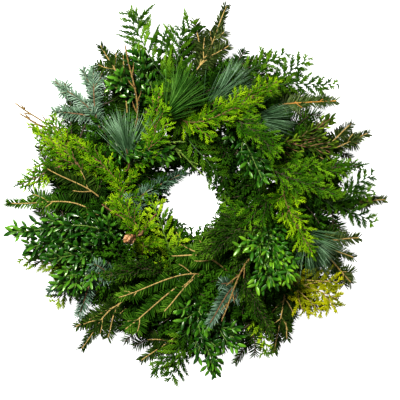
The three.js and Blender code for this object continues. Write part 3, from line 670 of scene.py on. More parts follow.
GREEN_SHADES = {
    # finish: deep, middle and tip green, roughness, gloss, sheen
    "dark_fir": ((0.003, 0.012, 0.001), (0.015, 0.044, 0.003), (0.08, 0.15, 0.012), 0.45, 0.1),
    "olive_fir": ((0.005, 0.015, 0.002), (0.028, 0.052, 0.008), (0.18, 0.24, 0.06), 0.5),
    "bright_fir": ((0.004, 0.022, 0.001), (0.022, 0.09, 0.003), (0.15, 0.32, 0.02), 0.45, 0.1),
    "bronze_fir": ((0.012, 0.03, 0.005), (0.06, 0.11, 0.02), (0.26, 0.34, 0.12), 0.5),
    "silver_fir": ((0.03, 0.07, 0.03), (0.21, 0.34, 0.21), (0.56, 0.7, 0.56), 0.6),
    "dim_silver_fir": ((0.012, 0.035, 0.015), (0.09, 0.18, 0.1), (0.36, 0.5, 0.38), 0.6),
    "blue_pine": ((0.01, 0.04, 0.014), (0.085, 0.18, 0.075), (0.34, 0.52, 0.32), 0.45, 0.15),
    "green_pine": ((0.005, 0.03, 0.002), (0.035, 0.13, 0.012), (0.17, 0.37, 0.06), 0.45, 0.15),
    "green_cedar": ((0.004, 0.022, 0.001), (0.025, 0.085, 0.002), (0.15, 0.3, 0.012), 0.5),
    "lime_cedar": ((0.012, 0.05, 0.001), (0.1, 0.23, 0.003), (0.45, 0.62, 0.02), 0.5),
    "olive_cedar": ((0.015, 0.045, 0.002), (0.12, 0.22, 0.006), (0.4, 0.54, 0.04), 0.5),
    "gold_cedar": ((0.03, 0.04, 0.001), (0.2, 0.23, 0.003), (0.54, 0.54, 0.006), 0.5),
    "lime_cypress": ((0.006, 0.035, 0.001), (0.07, 0.2, 0.002), (0.38, 0.58, 0.01), 0.5),
    "fresh_cypress": ((0.004, 0.026, 0.001), (0.038, 0.14, 0.002), (0.29, 0.52, 0.01), 0.5),
    "green_cypress": ((0.004, 0.02, 0.001), (0.03, 0.115, 0.002), (0.2, 0.4, 0.012), 0.5),
    "dark_juniper": ((0.004, 0.018, 0.001), (0.023, 0.078, 0.003), (0.13, 0.27, 0.015), 0.5),
    "glossy_boxwood": (
        (0.004, 0.03, 0.001), (0.013, 0.085, 0.002), (0.14, 0.37, 0.02), 0.3, 0.6, WAXY_SHEEN,
    ),
    "light_boxwood": (
        (0.012, 0.07, 0.002), (0.028, 0.14, 0.003), (0.25, 0.52, 0.02), 0.33, 0.5, WAXY_SHEEN,
    ),
    "olive_boxwood": ((0.006, 0.018, 0.001), (0.042, 0.09, 0.003), (0.3, 0.45, 0.02), 0.4, 0.25),
    "bud_brown": ((0.08, 0.04, 0.015), (0.24, 0.13, 0.05), (0.42, 0.28, 0.1), 0.6),
    "bud_green": ((0.12, 0.2, 0.03), (0.3, 0.42, 0.06), (0.5, 0.6, 0.15), 0.6),
    # shade_fir, shade_cedar, shade_juniper: greens of the sprays underneath, darkened as painted shade
    "shade_fir": ((0.003, 0.013, 0.001), (0.014, 0.05, 0.002), (0.07, 0.16, 0.01), 0.55),
    "shade_cedar": ((0.002, 0.01, 0.001), (0.008, 0.035, 0.001), (0.04, 0.13, 0.004), 0.6),
    "cone_wood": ((0.1, 0.045, 0.018), (0.4, 0.2, 0.08), (0.75, 0.48, 0.25), 0.6),
    "shade_juniper": ((0.002, 0.01, 0.001), (0.012, 0.05, 0.002), (0.05, 0.14, 0.008), 0.55),
}
BARK_SHADES = {
    # finish: dark and light colour, roughness
    "golden_bark": ((0.24, 0.15, 0.04), (0.56, 0.4, 0.12)),
    "brown_bark": ((0.09, 0.04, 0.015), (0.26, 0.13, 0.05)),
    "green_bark": ((0.05, 0.12, 0.01), (0.18, 0.28, 0.03), 0.6),
    "deep_bark": ((0.012, 0.045, 0.004), (0.05, 0.11, 0.012), 0.6),
    "orange_bark": ((0.3, 0.13, 0.02), (0.62, 0.32, 0.05)),
    "tan_bark": ((0.1, 0.055, 0.012), (0.34, 0.22, 0.05)),
    "dark_bark": ((0.02, 0.012, 0.005), (0.08, 0.05, 0.02)),
}
GREENS = {name: foliage(name, *shades) for name, shades in GREEN_SHADES.items()}
BARKS = {name: bark_finish(name, *shades) for name, shades in BARK_SHADES.items()}
print("finishes", len(GREENS) + len(BARKS))

# %% [markdown]
# ## Where each spray lies
#
# Each spray leaves a clamp, counted anticlockwise from +X, and bends up to a fork and out to its
# tips. Those places are given by their angle, in degrees from +X, and their radius in millimetres.
# The level says how high in the mound the spray lies. For 44 of the 57 these are the solid model's
# own places, so the finished spray lies on the one that it replaces. The other 13 lie a little to the
# side, higher or lower, to come closer to the photograph.

# %% The sprays
SPRAYS = {
    # name: finish, clamp, place in the clamp, level, fork, tips
    "juniper_inner_low": ("dark_juniper", 0, 0, 0.85, (343, 104), [(274, 60), (277, 82)]),
    "boxwood_right_low": ("light_boxwood", 0, 1, 0.95, (338, 130), [(322, 190), (312, 170)]),
    "white_pine_right_low": ("blue_pine", 0, 2, 0.75, (345, 178), [(332, 257)]),
    "noble_fir_right_low": ("olive_fir", 0, 3, 0.35, (343, 194), [(341, 267), (348, 267)]),
    "cypress_inner_right": ("green_cypress", 1, 0, 0.7, (358, 106), [(339, 56)]),
    "lime_cypress_right_low": ("lime_cypress", 1, 1, 1.0, (0, 144), [(337, 199)]),
    "cedar_right": ("green_cedar", 1, 2, 0.5, (1, 206), [(4, 282), (354, 286)]),
    "noble_fir_right": ("olive_fir", 1, 3, 0.3, (1, 206), [(1, 304)]),
    "green_cypress_right_low": ("green_cypress", 2, 0, 0.9, (33, 126), [(3, 223)]),
    "juniper_right_rim": ("green_cypress", 2, 1, 0.6, (19, 176), [(13, 269)]),
    "olive_boxwood": ("olive_boxwood", 2, 2, 0.7, (32, 178), [(32, 252), (22, 228)]),
    "noble_fir_right_upper": ("olive_fir", 2, 3, 0.45, (23, 213), [(22, 297), (27, 279)]),
    "boxwood_inner_right": ("glossy_boxwood", 3, 0, 0.9, (60, 135), [(20, 112)]),
    "white_pine_right": ("blue_pine", 3, 1, 0.95, (60, 156), [(37, 228)]),
    "cedar_top_left": ("green_cedar", 3, 2, 0.45, (98, 175), [(110, 322), (95, 276)]),
    "bronze_fir": ("bronze_fir", 3, 3, 0.35, (47, 217), [(36, 278)]),
    "green_cypress_right": ("green_cypress", 4, 0, 1.0, (63, 146), [(31, 151)]),
    "white_pine_top_right": ("blue_pine", 4, 1, 0.75, (85, 151), [(70, 262)]),
    "cedar_top_right": ("green_cedar", 4, 2, 0.35, (59, 218), [(40, 296), (52, 293)]),
    "cedar_top": ("green_cedar", 4, 3, 0.3, (69, 224), [(59, 279)]),
    "cedar_inner_right": ("green_cedar", 5, 0, 0.65, (85, 80), [(10, 56)]),
    "yellow_cypress_top_right": ("lime_cypress", 5, 1, 0.95, (84, 130), [(56, 230)]),
    "boxwood_top_left": ("glossy_boxwood", 5, 2, 0.8, (112, 164), [(112, 256), (122, 232)]),
    "noble_fir_top": ("olive_fir", 5, 3, 0.35, (88, 220), [(81, 320), (78, 257)]),
    "lime_twig_inner": ("bud_green", 6, 0, 1.0, (118, 112), [(74, 46)]),
    "white_pine_top": ("green_pine", 6, 1, 0.85, (106, 150), [(99, 237)]),
    "brown_twig_top_left": ("bud_brown", 6, 2, 0.95, (126, 159), [(114, 272)]),
    "noble_fir_top_left": ("dark_fir", 6, 3, 0.5, (123, 205), [(121, 293)]),
    "lime_cypress_top": ("fresh_cypress", 7, 0, 1.0, (130, 112), [(108, 182)]),
    "white_pine_left": ("blue_pine", 7, 1, 1.15, (151, 120), [(134, 214)]),
    "boxwood_inner_left": ("glossy_boxwood", 7, 2, 0.95, (138, 133), [(118, 88)]),
    "silver_fir_left": ("silver_fir", 7, 3, 0.35, (140, 205), [(139, 297), (147, 270)]),
    "lime_cypress_left": ("lime_cypress", 8, 0, 0.7, (173, 118), [(152, 216)]),
    "noble_fir_left_upper": ("dark_fir", 8, 1, 0.75, (180, 146), [(167, 240)]),
    "cypress_left": ("lime_cypress", 8, 2, 0.55, (162, 195), [(155, 293), (174, 280)]),
    "bare_twig_left": ("bud_brown", 8, 3, 0.3, (156, 213), [(151, 330), (153, 316)]),
    "silver_fir_inner": ("dim_silver_fir", 9, 0, 0.6, (174, 88), [(136, 51), (110, 52)]),
    "boxwood_left": ("glossy_boxwood", 9, 1, 0.7, (197, 152), [(189, 293)]),
    "boxwood_left_low": ("glossy_boxwood", 9, 2, 0.85, (210, 158), [(201, 247), (212, 245)]),
    "noble_fir_left": ("bright_fir", 9, 3, 0.4, (185, 162), [(180, 301)]),
    "cone_cypress": ("lime_cypress", 10, 0, 1.0, (210, 98), [(176, 125), (209, 110)]),
    "silver_fir_left_low": ("dim_silver_fir", 10, 1, 0.5, (216, 190), [(211, 272), (224, 258)]),
    "cedar_left_low": ("olive_cedar", 10, 2, 0.3, (214, 196), [(198, 290), (215, 274)]),
    "lime_cedar_inner_left": ("lime_cedar", 11, 0, 0.75, (238, 80), [(172, 72)]),
    "juniper_left_low": ("dark_juniper", 11, 1, 0.95, (240, 123), [(219, 184)]),
    "noble_fir_bottom_left": ("dark_fir", 11, 2, 0.4, (233, 201), [(232, 295)]),
    "noble_fir_bottom_inner": ("bright_fir", 12, 0, 0.75, (275, 114), [(231, 192), (241, 228)]),
    "boxwood_bottom": ("glossy_boxwood", 12, 1, 0.65, (272, 174), [(277, 268), (286, 222)]),
    "noble_fir_bottom": ("dark_fir", 12, 2, 0.35, (265, 204), [(251, 266)]),
    "cedar_bottom": ("green_cedar", 12, 3, 0.5, (268, 211), [(257, 276), (262, 282)]),
    "noble_fir_inner_low": ("bright_fir", 13, 0, 0.7, (280, 85), [(228, 72)]),
    "silver_fir_bottom": ("dim_silver_fir", 13, 1, 0.9, (297, 144), [(277, 190)]),
    "cedar_bottom_right": ("lime_cedar", 13, 2, 0.3, (299, 205), [(296, 266)]),
    "juniper_bottom_right": ("dark_juniper", 14, 0, 0.85, (310, 123), [(300, 244)]),
    "golden_twig_bottom": ("bud_brown", 14, 1, 1.05, (315, 123), [(283, 187)]),
    "golden_cedar": ("gold_cedar", 14, 2, 0.6, (322, 185), [(319, 264)]),
    "noble_fir_bottom_right": ("dark_fir", 14, 3, 0.3, (316, 199), [(298, 269), (321, 263)]),
}
ring_low, ring_high = [Vector(corner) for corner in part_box("wire_ring")]
RING_CENTRE = (ring_low + ring_high) / 2
RING_CENTRE.z = 0
print("sprays", len(SPRAYS), "ring centre", tuple(round(c, 4) for c in RING_CENTRE))

# %% [markdown]
# ## The stems of a spray
#
# The main stem runs straight through its clamp and bends up to the fork, and a limb goes on from
# there to each tip. A curve object could be drawn for each, but a bend between two places with
# known headings needs no more than those, so one function works out every stem. None of them climbs
# more steeply than its level allows, so a spray rises gently from its clamp into the mound.

# %% Main stems
CLAMPS = 15
CLAMP_STEP = 360 // CLAMPS
RING_RADIUS = 152
SLOT_PITCH = 5.1
MIDDLE_SLOT = 1.5
STEM_HEIGHT = 8.19
STEM_STUB, STEM_LEAVE = 7, 5
DOME_HEIGHT = 84
DOME_EDGE = 0.08
CREST_RADIUS = 160
OUTER_REACH = 190
INNER_REACH = 135
FOLIAGE_FLOOR = 13
FIRST_CLIMB = 8
LEAST_SLOPE, LEVEL_SLOPE = 0.25, 0.65
BEND_REACH = 0.38
FORK_LEAD = 0.4
LEAFY_FROM = 0.4


def polar(angle, radius, height=0.0):
    """A point by its angle in degrees and its radius round the ring, in millimetres."""
    around = math.radians(angle)
    return Vector((radius * math.cos(around), radius * math.sin(around), height))


def dome(radius):
    """How high the mound of greens is at a radius."""
    reach = OUTER_REACH if radius > CREST_RADIUS else INNER_REACH
    return DOME_HEIGHT * math.sqrt(max(DOME_EDGE, 1 - ((radius - CREST_RADIUS) / reach) ** 2))


def rise(start, angle, radius, level):
    """A point at the spray's level, no steeper above where it comes from than a stem rises."""
    flat = polar(angle, radius)
    run = math.hypot(flat.x - start.x, flat.y - start.y)
    highest = start.z + FIRST_CLIMB + (LEAST_SLOPE + LEVEL_SLOPE * level) * run
    flat.z = min(FOLIAGE_FLOOR + level * dome(radius), highest)
    return flat


def bend(start, heading, end, arriving, count=14):
    """Points along a smooth bend between two places and headings."""
    handle = (end - start).length * BEND_REACH
    near = start + heading * handle
    far = end - arriving * handle
    points = []
    for step in range(count + 1):
        t = step / count
        s = 1 - t
        points.append(s ** 3 * start + 3 * s * s * t * near + 3 * s * t * t * far + t ** 3 * end)
    return points


def main_stems(clamp, slot, level, fork_at, tips):
    """The points of the stem as far as its fork, and of each limb from there to its tip."""
    angle = CLAMP_STEP * clamp
    seat = polar(angle, RING_RADIUS + (slot - MIDDLE_SLOT) * SLOT_PITCH, STEM_HEIGHT)
    ahead = (tips[0][0] - angle + 540) % 360 - 180
    turn = 1 if ahead > 0 else -1
    heading = polar(angle + 90 * turn, 1)
    leave = seat + heading * STEM_LEAVE
    fork = rise(leave, *fork_at, level)
    ends = [rise(fork, *tip, level) for tip in tips]
    climbing = (fork - leave).normalized()
    arriving = ((ends[0] - fork).normalized() + climbing).normalized()
    stem = [seat - heading * STEM_STUB] + bend(leave, heading, fork, arriving)
    limbs = []
    for place, end in enumerate(ends):
        aim = (end - fork).normalized()
        leading = aim.lerp(arriving, FORK_LEAD).normalized() if place else arriving
        limbs.append(bend(fork, leading, end, aim))
    return stem, limbs


stem, limbs = main_stems(*SPRAYS["noble_fir_right"][1:])
print("first stem", len(stem), "points,", len(limbs), "limb")

# %% [markdown]
# ## Side twigs
#
# Side twigs leave the stems in pairs, and they are what gives a spray its width. The lines of a
# spray are loose edges of a mesh, which carry a girth and a leafiness at every point for the trees
# to read. Where the twigs leave follows from a fixed seed, so that the wreath is the same each time.

# %% Side twigs
MORE_TIPS = {
    # a spray's further limbs, which the solid model leaves out
    "golden_cedar": [(326, 272), (331, 258)],
    "silver_fir_left": [(127, 272)],
    "cypress_left": [(157, 262), (149, 268), (163, 240)],
    "juniper_inner_low": [(320, 45), (297, 47)],
    "boxwood_right_low": [(320, 118)],
    "noble_fir_right_low": [(333, 279)],
    "noble_fir_bottom_right": [(304, 262)],
    "noble_fir_bottom_left": [(237, 256), (226, 275)],
    "noble_fir_bottom_inner": [(254, 178)],
    "noble_fir_inner_low": [(246, 92)],
    "noble_fir_top": [(90, 290)],
    "cedar_right": [(9, 284)],
    "boxwood_left": [(195, 270)],
    "noble_fir_top_left": [(116, 262)],
}
FULLNESS = {
    # how wide a spray is, beside others of its kind
    "cypress_left": 0.8,
    "cedar_top_left": 1.25,
    "cedar_top_right": 0.65,
    "cedar_top": 0.75,
    "cedar_bottom_right": 0.65,
    "cedar_right": 0.65,
    "cedar_left_low": 0.85,
    "golden_cedar": 0.85,
    "cedar_bottom": 0.8,
    "cedar_inner_right": 0.85,
    "lime_cedar_inner_left": 0.7,
    "silver_fir_inner": 0.5,
    "boxwood_inner_left": 0.8,
    "bronze_fir": 0.3,
    "noble_fir_top": 0.85,
    "noble_fir_right_upper": 0.7,
    "noble_fir_right": 0.7,
    "noble_fir_right_low": 0.8,
    "silver_fir_left_low": 0.8,
}


class Skeleton:
    """Twigs as loose lines, with a girth, a leafiness and a breadth at each point."""

    def __init__(self):
        self.points = []
        self.edges = []
        self.girth = []
        self.leafy = []
        self.breadth = []

    def line(self, points, girths, leafy_from=0.0, breadth=0.0, closed=False):
        """Adds a line, given in millimetres from the middle of the ring."""
        first = len(self.points)
        for place, point in enumerate(points):
            share = place / (len(points) - 1)
            self.points.append((point * MM + RING_CENTRE)[:])
            self.girth.append((girths[0] + (girths[1] - girths[0]) * share) * MM)
            self.leafy.append(1.0 if share >= leafy_from else 0.0)
            self.breadth.append(breadth * MM)
            if place:
                self.edges.append((first + place - 1, first + place))
        if closed:
            self.edges.append((len(self.points) - 1, first))

    def mesh(self, name):
        mesh = bpy.data.meshes.new(name)
        mesh.from_pydata(self.points, self.edges, [])
        for label in ("girth", "leafy", "breadth"):
            values = mesh.attributes.new(label, "FLOAT", "POINT")
            values.data.foreach_set("value", getattr(self, label))
        return mesh


# the middle of the open centre and its half sizes, in millimetres
OPEN_CENTRE = (-4, 4, 43, 46)
TWIG_STEPS = 3
TWIG_FLOOR = 11


def in_the_open(point):
    """Whether a point lies over the open centre of the wreath."""
    x, y, wide, high = OPEN_CENTRE
    return ((point.x - x) / wide) ** 2 + ((point.y - y) / high) ** 2 < 1


def frame_at(points, share):
    """The place and the along, across and up directions at a share of a line of points."""
    spot = share * (len(points) - 1)
    low = min(int(spot), len(points) - 2)
    along = (points[low + 1] - points[low]).normalized()
    across = Vector((0, 0, 1)).cross(along).normalized()
    return points[low].lerp(points[low + 1], spot - low), along, across, along.cross(across)


def side_twig(points, share, roll, open_angle, length, curve_in):
    """One side twig of four points, bending a little back towards its parent's direction."""
    root, along, across, up = frame_at(points, share)
    outward = across * math.cos(roll) + up * math.sin(roll)
    twig = [root]
    for step in range(TWIG_STEPS):
        lean = math.radians(open_angle) * (1 - curve_in * step / TWIG_STEPS)
        heading = along * math.cos(lean) + outward * math.sin(lean)
        twig.append(twig[-1] + heading * length / TWIG_STEPS)
    for point in twig:
        point.z = max(point.z, TWIG_FLOOR)
    return twig


def length_of(points):
    return sum((b - a).length for a, b in zip(points, points[1:]))


def shortened(points, length):
    """The same line without the last length of it."""
    whole = length_of(points)
    kept = list(points)
    while len(kept) > 3 and length_of(kept) > whole - length:
        kept.pop()
    return kept


PINE_NEEDLE = 88
PINE_TUFT = 45
PINE_SETBACK = 0.85
EARLIEST, LATEST = 0.1, 0.9
LAST_TWIG = 0.97
TWIG_CURVE = 0.5
SHORTEST_TWIG, LONGEST_TWIG = 0.65, 1.15
NARROWEST, WIDEST = 0.8, 1.2
TAPER_START, TAPER_SPAN, TAPER_POWER = 0.25, 0.72, 0.7
HABITS = {
    # habit: spacing and reach in mm, open angle in degrees, roll spread in radians, stagger, start,
    # girths of the stem and of a side twig, lobe lengths on the stem and on a side twig
    "fir": (66, 40, 42, 0.2, 0.06, 0.3, (1.5, 1.0), (1.0, 0.8), (0, 0)),
    "silver": (60, 36, 40, 0.25, 0.06, 0.3, (1.5, 1.0), (1.0, 0.8), (0, 0)),
    "pine": (30, 30, 20, 0.9, 0.3, 0.5, (2.2, 1.2), (1.2, 0.9), (0, 0)),
    "cypress": (17, 38, 34, 0.6, 0.5, 0.25, (1.5, 0.8), (0.8, 0.5), (24, 20)),
    "juniper": (6, 36, 34, 0.9, 0.5, 0.25, (1.8, 0.8), (0.8, 0.4), (0, 0)),
    "boxwood": (15, 38, 40, 0.7, 0.1, 0.25, (1.6, 0.8), (0.9, 0.6), (0, 0)),
    "twig": (40, 26, 32, 0.5, 0.3, 0.45, (1.9, 1.2), (1.2, 0.9), (0, 0)),
    "cedar": (70, 52, 36, 0.15, 0.5, 0.2, (1.5, 0.6), (0.9, 0.5), (38, 27)),
    "filler": (24, 56, 40, 0.2, 0.5, 0.1, (1.8, 0.8), (1.0, 0.6), (34, 30)),
    "buds": (15, 34, 26, 0.5, 0.1, 0.25, (1.6, 0.9), (1.0, 0.7), (0, 0)),
}
HABITS["shade_fir"] = HABITS["fir"]
HABITS["shade_juniper"] = HABITS["juniper"]


def fullness_at(share):
    """How long side twigs are at a share of the stem, longest about a third of the way along."""
    return math.sin(math.pi * min(1, TAPER_START + TAPER_SPAN * share)) ** TAPER_POWER


def grow(habit, stem, limbs, rng, fullness=1.0):
    """The whole skeleton of a spray: its main stems and their side twigs."""
    spacing, reach, open_angle, spread, stagger, start, girths, side_girths, breadths = HABITS[habit]
    breadths = [breadth * fullness for breadth in breadths]
    bones = Skeleton()
    whole = stem[:-1] + limbs[0]
    axes = [(whole, LEAFY_FROM * len(stem) / len(whole))] + [(limb, 0.0) for limb in limbs[1:]]
    for points, leafy_from in axes:
        if habit == "pine":
            points = shortened(points, PINE_NEEDLE * PINE_SETBACK)
            leafy_from = max(0, 1 - PINE_TUFT / length_of(points))
        bones.line(points, girths, leafy_from, breadths[0])
        first = max(start, leafy_from)
        count = int(length_of(points) * (1 - first) / spacing)
        for step in range(count):
            place = step + rng.uniform(EARLIEST, LATEST - stagger)
            for side in (0, 1):
                share = first + (LAST_TWIG - first) * (place + side * stagger) / count
                own_length = rng.uniform(SHORTEST_TWIG, LONGEST_TWIG)
                length = reach * fullness_at(share) * own_length * fullness
                roll = math.pi * side + rng.uniform(-spread, spread)
                open_by = open_angle * rng.uniform(NARROWEST, WIDEST)
                twig = side_twig(points, share, roll, open_by, length, TWIG_CURVE)
                if not in_the_open(twig[-1]):
                    bones.line(twig, side_girths, 0.0, breadths[1])
    return bones


print("habits", list(HABITS))

# %% [markdown]
# ## Growing the sprays
#
# A species is one of the trees with its own sizes, such as a needle's length and the pitch from one
# needle to the next, which follow real twigs. Each spray's lines become an object with its
# species' tree on it. The tree could stay on the object as a live modifier, but the finished result
# is kept as plain mesh instead, so that nothing is left to work out later.

# %% Species
SEED_STEP = 40


def sized(kind, length, width, thickness, pitch):
    """A blade's sizes and pitch, given in millimetres, under the names that the trees use."""
    named = {"length": length, "width": width, "thickness": thickness, "pitch": pitch}
    return {f"{kind} {label}": value * MM for label, value in named.items()}


def needles(tree, sizes, opening=(74, 40, 8), flatness=0.9, bare_above=0.5, facing=0.9, bundle=1):
    """A needled species: its tree, and the tree's inputs from millimetres and degrees."""
    root, tip, uneven = opening
    return tree, {
        **sized("Needle", *sizes),
        "Open angle": math.radians(root),
        "Tip angle": math.radians(tip),
        "Unevenness": math.radians(uneven),
        "Flatness": flatness,
        "Bare above": bare_above,
        "Facing up": facing,
        "Needles in a bundle": bundle,
    }


def fans(tree, sizes, lobe_pitch, lobe_angle, lobe_roll, lobe_droop=0.0):
    """A fanned species, from millimetres and degrees, with the roll in radians."""
    return tree, {
        **sized("Branchlet", *sizes),
        "Lobe pitch": lobe_pitch * MM,
        "Lobe angle": math.radians(lobe_angle),
        "Lobe roll": lobe_roll,
        "Lobe droop": lobe_droop,
    }


def leaves(tree, sizes, open_angle, facing):
    """A leafy species, from millimetres and degrees."""
    return tree, {**sized("Leaf", *sizes), "Open angle": math.radians(open_angle), "Facing up": facing}


SPECIES = {
    # species: its tree, a blade's length, width, thickness and pitch, and how the blades stand
    "fir": needles(fir_tree, (17, 2.1, 1.0, 0.46)),
    "silver": needles(fir_tree, (16, 2.0, 1.0, 0.42), flatness=0.6, bare_above=0.8),
    "pine": needles(pine_tree, (PINE_NEEDLE, 1.4, 1.0, 0.28), (26, 10, 8), 0.6, 0.6, bundle=5),
    "juniper": needles(scaly_tree, (10, 2.2, 1.3, 1.5), (40, 18, 8), 0.2, 1.0),
    "twig": needles(budded_tree, (7, 2.8, 2.6, 8), (34, 12, 8), 0.0, 1.0),
    "cone": needles(cone_tree, (9.5, 8.5, 3.4, 0.55), (72, 24, 2), 0.0, 1.1, facing=0.0),
    "shade_fir": needles(shade_needle_tree, (17, 2.3, 1.0, 0.68)),
    "shade_juniper": needles(shade_needle_tree, (11, 2.6, 1.3, 1.9), (40, 18, 8), 0.2, 1.0),
    "cedar": fans(cedar_tree, (10, 3.2, 1.1, 2.1), 6.6, 44, 0.1, 0.15),
    "cypress": fans(cedar_tree, (8.5, 2.0, 1.1, 2.1), 5.4, 33, 0.6),
    "filler": fans(shade_fan_tree, (11, 5.4, 1.1, 3.0), 6, 44, 0.25),
    "boxwood": leaves(boxwood_tree, (18, 7.2, 0.8, 7), 56, 0.8),
    "buds": leaves(boxwood_tree, (14, 5, 1.2, 6.5), 34, 0.6),
}
LOOKS = {
    # finish: species, bark, slot
    "dark_fir": ("fir", "golden_bark", "fir_needles"),
    "olive_fir": ("fir", "golden_bark", "fir_needles"),
    "bright_fir": ("fir", "golden_bark", "fir_needles"),
    "bronze_fir": ("fir", "orange_bark", "fir_needles"),
    "shade_fir": ("shade_fir", "dark_bark", "fir_needles"),
    "silver_fir": ("silver", "brown_bark", "silver_fir_needles"),
    "dim_silver_fir": ("silver", "brown_bark", "silver_fir_needles"),
    "blue_pine": ("pine", "brown_bark", "pine_needles"),
    "green_pine": ("pine", "brown_bark", "pine_needles"),
    "green_cedar": ("cedar", "deep_bark", "cedar_fronds"),
    "lime_cedar": ("cedar", "green_bark", "cedar_fronds"),
    "olive_cedar": ("cedar", "brown_bark", "cedar_fronds"),
    "gold_cedar": ("cedar", "golden_bark", "golden_cedar_fronds"),
    "lime_cypress": ("cypress", "brown_bark", "cypress_sprays"),
    "fresh_cypress": ("cypress", "brown_bark", "cypress_sprays"),
    "green_cypress": ("cypress", "dark_bark", "cypress_sprays"),
    "dark_juniper": ("juniper", "dark_bark", "juniper_sprays"),
    "shade_juniper": ("shade_juniper", "dark_bark", "juniper_sprays"),
    "shade_cedar": ("filler", "dark_bark", "cedar_fronds"),
    "cone_wood": ("cone", "brown_bark", "cone_scales"),
    "glossy_boxwood": ("boxwood", "green_bark", "boxwood_leaves"),
    "light_boxwood": ("boxwood", "green_bark", "boxwood_leaves"),
    "olive_boxwood": ("buds", "brown_bark", "boxwood_leaves"),
    "bud_brown": ("twig", "tan_bark", "bare_twigs"),
    "bud_green": ("twig", "green_bark", "bare_twigs"),
}


def set_input(modifier, label, value):
    """Sets a modifier's input by its socket's identifier."""
    for item in modifier.node_group.interface.items_tree:
        if item.item_type == "SOCKET" and item.in_out == "INPUT" and item.name == label:
            modifier[item.identifier] = value


def dress(name, bones, finish, seed):
    """Runs the species' tree over a skeleton, and keeps the result as a plain mesh."""
    species, bark_name, slot = LOOKS[finish]
    tree, sizes = SPECIES[species]
    piece = put(name, bones.mesh(name + "_bones"))
    grower = piece.modifiers.new("grow", "NODES")
    grower.node_group = tree
    for label, value in sizes.items():
        set_input(grower, label, value)
    set_input(grower, "Seed", SEED_STEP * seed)
    set_input(grower, "Foliage", GREENS[finish])
    set_input(grower, "Bark", BARKS[bark_name])
    evaluated = piece.evaluated_get(bpy.context.evaluated_depsgraph_get())
    grown = bpy.data.meshes.new_from_object(evaluated)
    piece.modifiers.remove(grower)
    piece.data = grown
    grown.name = name
    return piece, slot


print("species", len(SPECIES), "finishes in use", len(LOOKS))

# %% [markdown]
# ## The sprays that replace the solid ones
#
# Each named spray of the model stands for one cut branch. Its stem and limbs are worked out, its side
# twigs grown, and its species' tree run over them. The finished piece rides the wreath's one body and
# takes the place of the solid one. The sprig that bears the cone keeps only its first limb here, because
# its second one comes with the cone.

# %% The sprays that replace the solid ones
count_of = {"pieces": 0, "triangles": 0}


def keep(piece, slot, *nodes):
    """Sets a finished piece on the wreath, in place of its solid ones, and counts it."""
    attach(piece, "root")
    if nodes:
        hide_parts(*nodes)
    faces = sum(len(face.vertices) - 2 for face in piece.data.polygons)
    top = max(corner[2] for corner in piece.bound_box) / MM
    count_of["pieces"] += 1
    count_of["triangles"] += faces
    print(f"{piece.name}: {faces} triangles, {top:.0f} mm high")


for place, (node, (finish, clamp, slot_place, level, fork_at, tips)) in enumerate(SPRAYS.items()):
    stem, limbs = main_stems(clamp, slot_place, level, fork_at, tips + MORE_TIPS.get(node, []))
    if node == "cone_cypress":
        limbs = limbs[:1]
    bones = grow(LOOKS[finish][0], stem, limbs, random.Random(place), FULLNESS.get(node, 1.0))
    piece, slot = dress("grown_" + node, bones, finish, place)
    keep(piece, slot, node)
print(count_of)

# %% [markdown]
# ## The greens underneath
#
# Seen from the front, a full wreath shows no gap: behind the sprays on top lie others, in shade.
# Each clamp holds a few of these too, so they're laid from every clamp by one rule, lower down. Their
# greens are darker than most on top, as painted shade.

# %% Under sprays
UNDER = {
    # name: finishes in turn, place in the clamp, level, fork and tips as (degrees back, radius)
    "outer": (("shade_fir", "shade_fir"), 3, 0.25, (14, 205), ((32, 260), (48, 240))),
    "middle": (("shade_cedar", "shade_cedar"), 1, 0.3, (22, 165), ((52, 190), (50, 160))),
    "between": (("shade_cedar", "shade_fir"), 2, 0.12, (20, 180), ((42, 220), (54, 150))),
    "inner": (("shade_juniper", "shade_cedar"), 0, 0.35, (20, 108), ((52, 64), (48, 104))),
}
UNDER_DRAWS = 1000
UNDER_SEED = 100
ANGLE_WANDER = 5
RADIUS_WANDER = 8
for clamp in range(CLAMPS):
    for ring_part, (finishes, slot_place, level, fork_at, tips) in UNDER.items():
        angle = CLAMP_STEP * clamp
        rng = random.Random(UNDER_DRAWS + clamp)
        wander = rng.uniform(-ANGLE_WANDER, ANGLE_WANDER)
        fork = (angle - fork_at[0] + wander, fork_at[1])
        ends = []
        for back, radius in tips:
            far = radius + rng.uniform(-RADIUS_WANDER, RADIUS_WANDER)
            ends.append((angle - back + wander, far))
        stem, limbs = main_stems(clamp, slot_place, level, fork, ends)
        finish = finishes[clamp % 2]
        bones = grow(LOOKS[finish][0], stem, limbs, rng)
        piece, slot = dress(f"under_{ring_part}_{clamp:02d}", bones, finish, UNDER_SEED + clamp)
        keep(piece, slot)
print(count_of)

# %% [markdown]
# ## The cone
#
# The one woody cone is a small round one on a bare twig. Its scales are thick shields on a spiral,
# so the tree that places needles places them too, on a short line that is thick in its middle.

# %% The cone and its twigs
CONE_GIRTHS = (4.0, 6.8, 7.8, 6.8, 3.8)
CONE_STEP = 3.9
CONE_SEED = 300
CONE_LEAN = 0.5
FORK_LIFT = 5
BARE = 2.0
CONE_TWIG_GIRTHS = (1.9, 1.4)
BARE_TWIG_GIRTHS = (1.9, 1.1)
TWIG_SWEEP = 0.3
BARE_TWIG_ENDS = (Vector((-146, -2, 104)), Vector((-61, -16, 98)))
stem, limbs = main_stems(*SPRAYS["cone_cypress"][1:])
cone_low, cone_high = [(Vector(corner) - RING_CENTRE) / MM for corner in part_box("cypress_cone")]
cone_middle = (cone_low + cone_high) / 2
leading = (limbs[1][-1] - limbs[1][-2]).normalized()
cone_axis = (leading * CONE_LEAN + Vector((0, 0, 1))).normalized()
fork = limbs[1][0] + Vector((0, 0, FORK_LIFT))
cone_base = cone_middle - cone_axis * 2 * CONE_STEP
bones = Skeleton()
bones.line(bend(fork, leading, cone_base, cone_axis), CONE_TWIG_GIRTHS, BARE)
